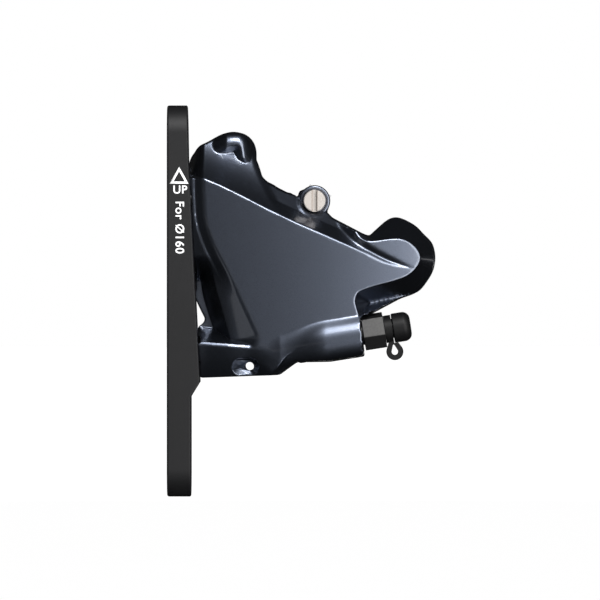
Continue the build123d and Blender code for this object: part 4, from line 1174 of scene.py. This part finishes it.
class CALIPER_OT_pistons(bpy.types.Operator):
    """Finish the pistons and their seals"""

    bl_idname = "caliper.pistons"
    bl_label = "Pistons"

    def execute(self, context):
        for node in ("outer_piston", "inner_piston"):
            machined(node, piston_ceramic, sizes().edge_break)
        for node in ("outer_piston_seal", "inner_piston_seal"):
            machined(node, moulded_rubber, sizes().edge_break)
        return {"FINISHED"}


class CALIPER_OT_pads(bpy.types.Operator):
    """Finish the pads and their spring"""

    bl_idname = "caliper.pads"
    bl_label = "Pads"

    def execute(self, context):
        for node in ("outer_pad_plate", "inner_pad_plate"):
            machined(node, stamped_steel, sizes().edge_break)
        for node in ("outer_pad_lining", "inner_pad_lining"):
            machined(node, lining_compound, sizes().edge_break / 2)
        mesh = frame["nodes"]["pad_spring"].data.copy()
        steel, body = finish(spring_steel), BODY_OF["pad_spring"]
        spring = show("pad_spring_strip", mesh, steel, body, "spring_steel", "pad_spring")
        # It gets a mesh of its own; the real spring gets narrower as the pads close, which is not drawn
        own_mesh(spring)
        return {"FINISHED"}


class CALIPER_OT_pad_axle(bpy.types.Operator):
    """Finish the pad axle and its clip"""

    bl_idname = "caliper.pad_axle"
    bl_label = "Pad axle"

    def execute(self, context):
        machined("pad_axle", turned_stainless, sizes().edge_break / 2)
        machined("pad_axle_clip", spring_steel, sizes().edge_break / 3)
        return {"FINISHED"}


class CALIPER_OT_nipple(bpy.types.Operator):
    """Finish the bleed nipple"""

    bl_idname = "caliper.nipple"
    bl_label = "Bleed nipple"

    def execute(self, context):
        machined("bleed_nipple", worn_and_lit_zinc, sizes().edge_break / 2)
        return {"FINISHED"}


class CALIPER_OT_cap(bpy.types.Operator):
    """Finish the rubber cap and the strap that keeps it"""

    bl_idname = "caliper.cap"
    bl_label = "Bleed cap"

    def execute(self, context):
        machined("bleed_cap", moulded_rubber, sizes().edge_break)
        machined("bleed_cap_strap", moulded_rubber, sizes().edge_break)
        return {"FINISHED"}


class CALIPER_PT_panel(bpy.types.Panel):
    """The caliper's pieces and sizes in the sidebar"""

    bl_idname = "CALIPER_PT_panel"
    bl_label = "Disc brake caliper"
    bl_space_type = "VIEW_3D"
    bl_region_type = "UI"
    bl_category = "Caliper"

    def draw(self, context):
        column = self.layout.column()
        for group in (sizes(), colours()):
            for name in group.bl_rna.properties.keys():
                if name not in ("rna_type", "name"):
                    column.prop(group, name)
        for operator in OPERATORS:
            column.operator(operator.bl_idname)


OPERATORS = (
    CALIPER_OT_stage,
    CALIPER_OT_plate,
    CALIPER_OT_marks,
    CALIPER_OT_outer_half,
    CALIPER_OT_inner_half,
    CALIPER_OT_body_bolts,
    CALIPER_OT_pistons,
    CALIPER_OT_pads,
    CALIPER_OT_pad_axle,
    CALIPER_OT_nipple,
    CALIPER_OT_cap,
)
CLASSES = (CaliperSizes, CaliperColours, *OPERATORS, CALIPER_PT_panel)


def register():
    """Register the classes and hang the sizes and colours on the scene."""
    for kind in CLASSES:
        bpy.utils.register_class(kind)
    bpy.types.Scene.caliper_sizes = PointerProperty(type=CaliperSizes)
    bpy.types.Scene.caliper_colours = PointerProperty(type=CaliperColours)


def unregister():
    """Take the sizes, the colours and the classes away."""
    del bpy.types.Scene.caliper_sizes
    del bpy.types.Scene.caliper_colours
    for kind in reversed(CLASSES):
        bpy.utils.unregister_class(kind)


def main():
    """Make every piece."""
    register()
    for operator in OPERATORS:
        group, name = operator.bl_idname.split(".")
        getattr(getattr(bpy.ops, group), name)()


if __name__ == "__main__":
    main()
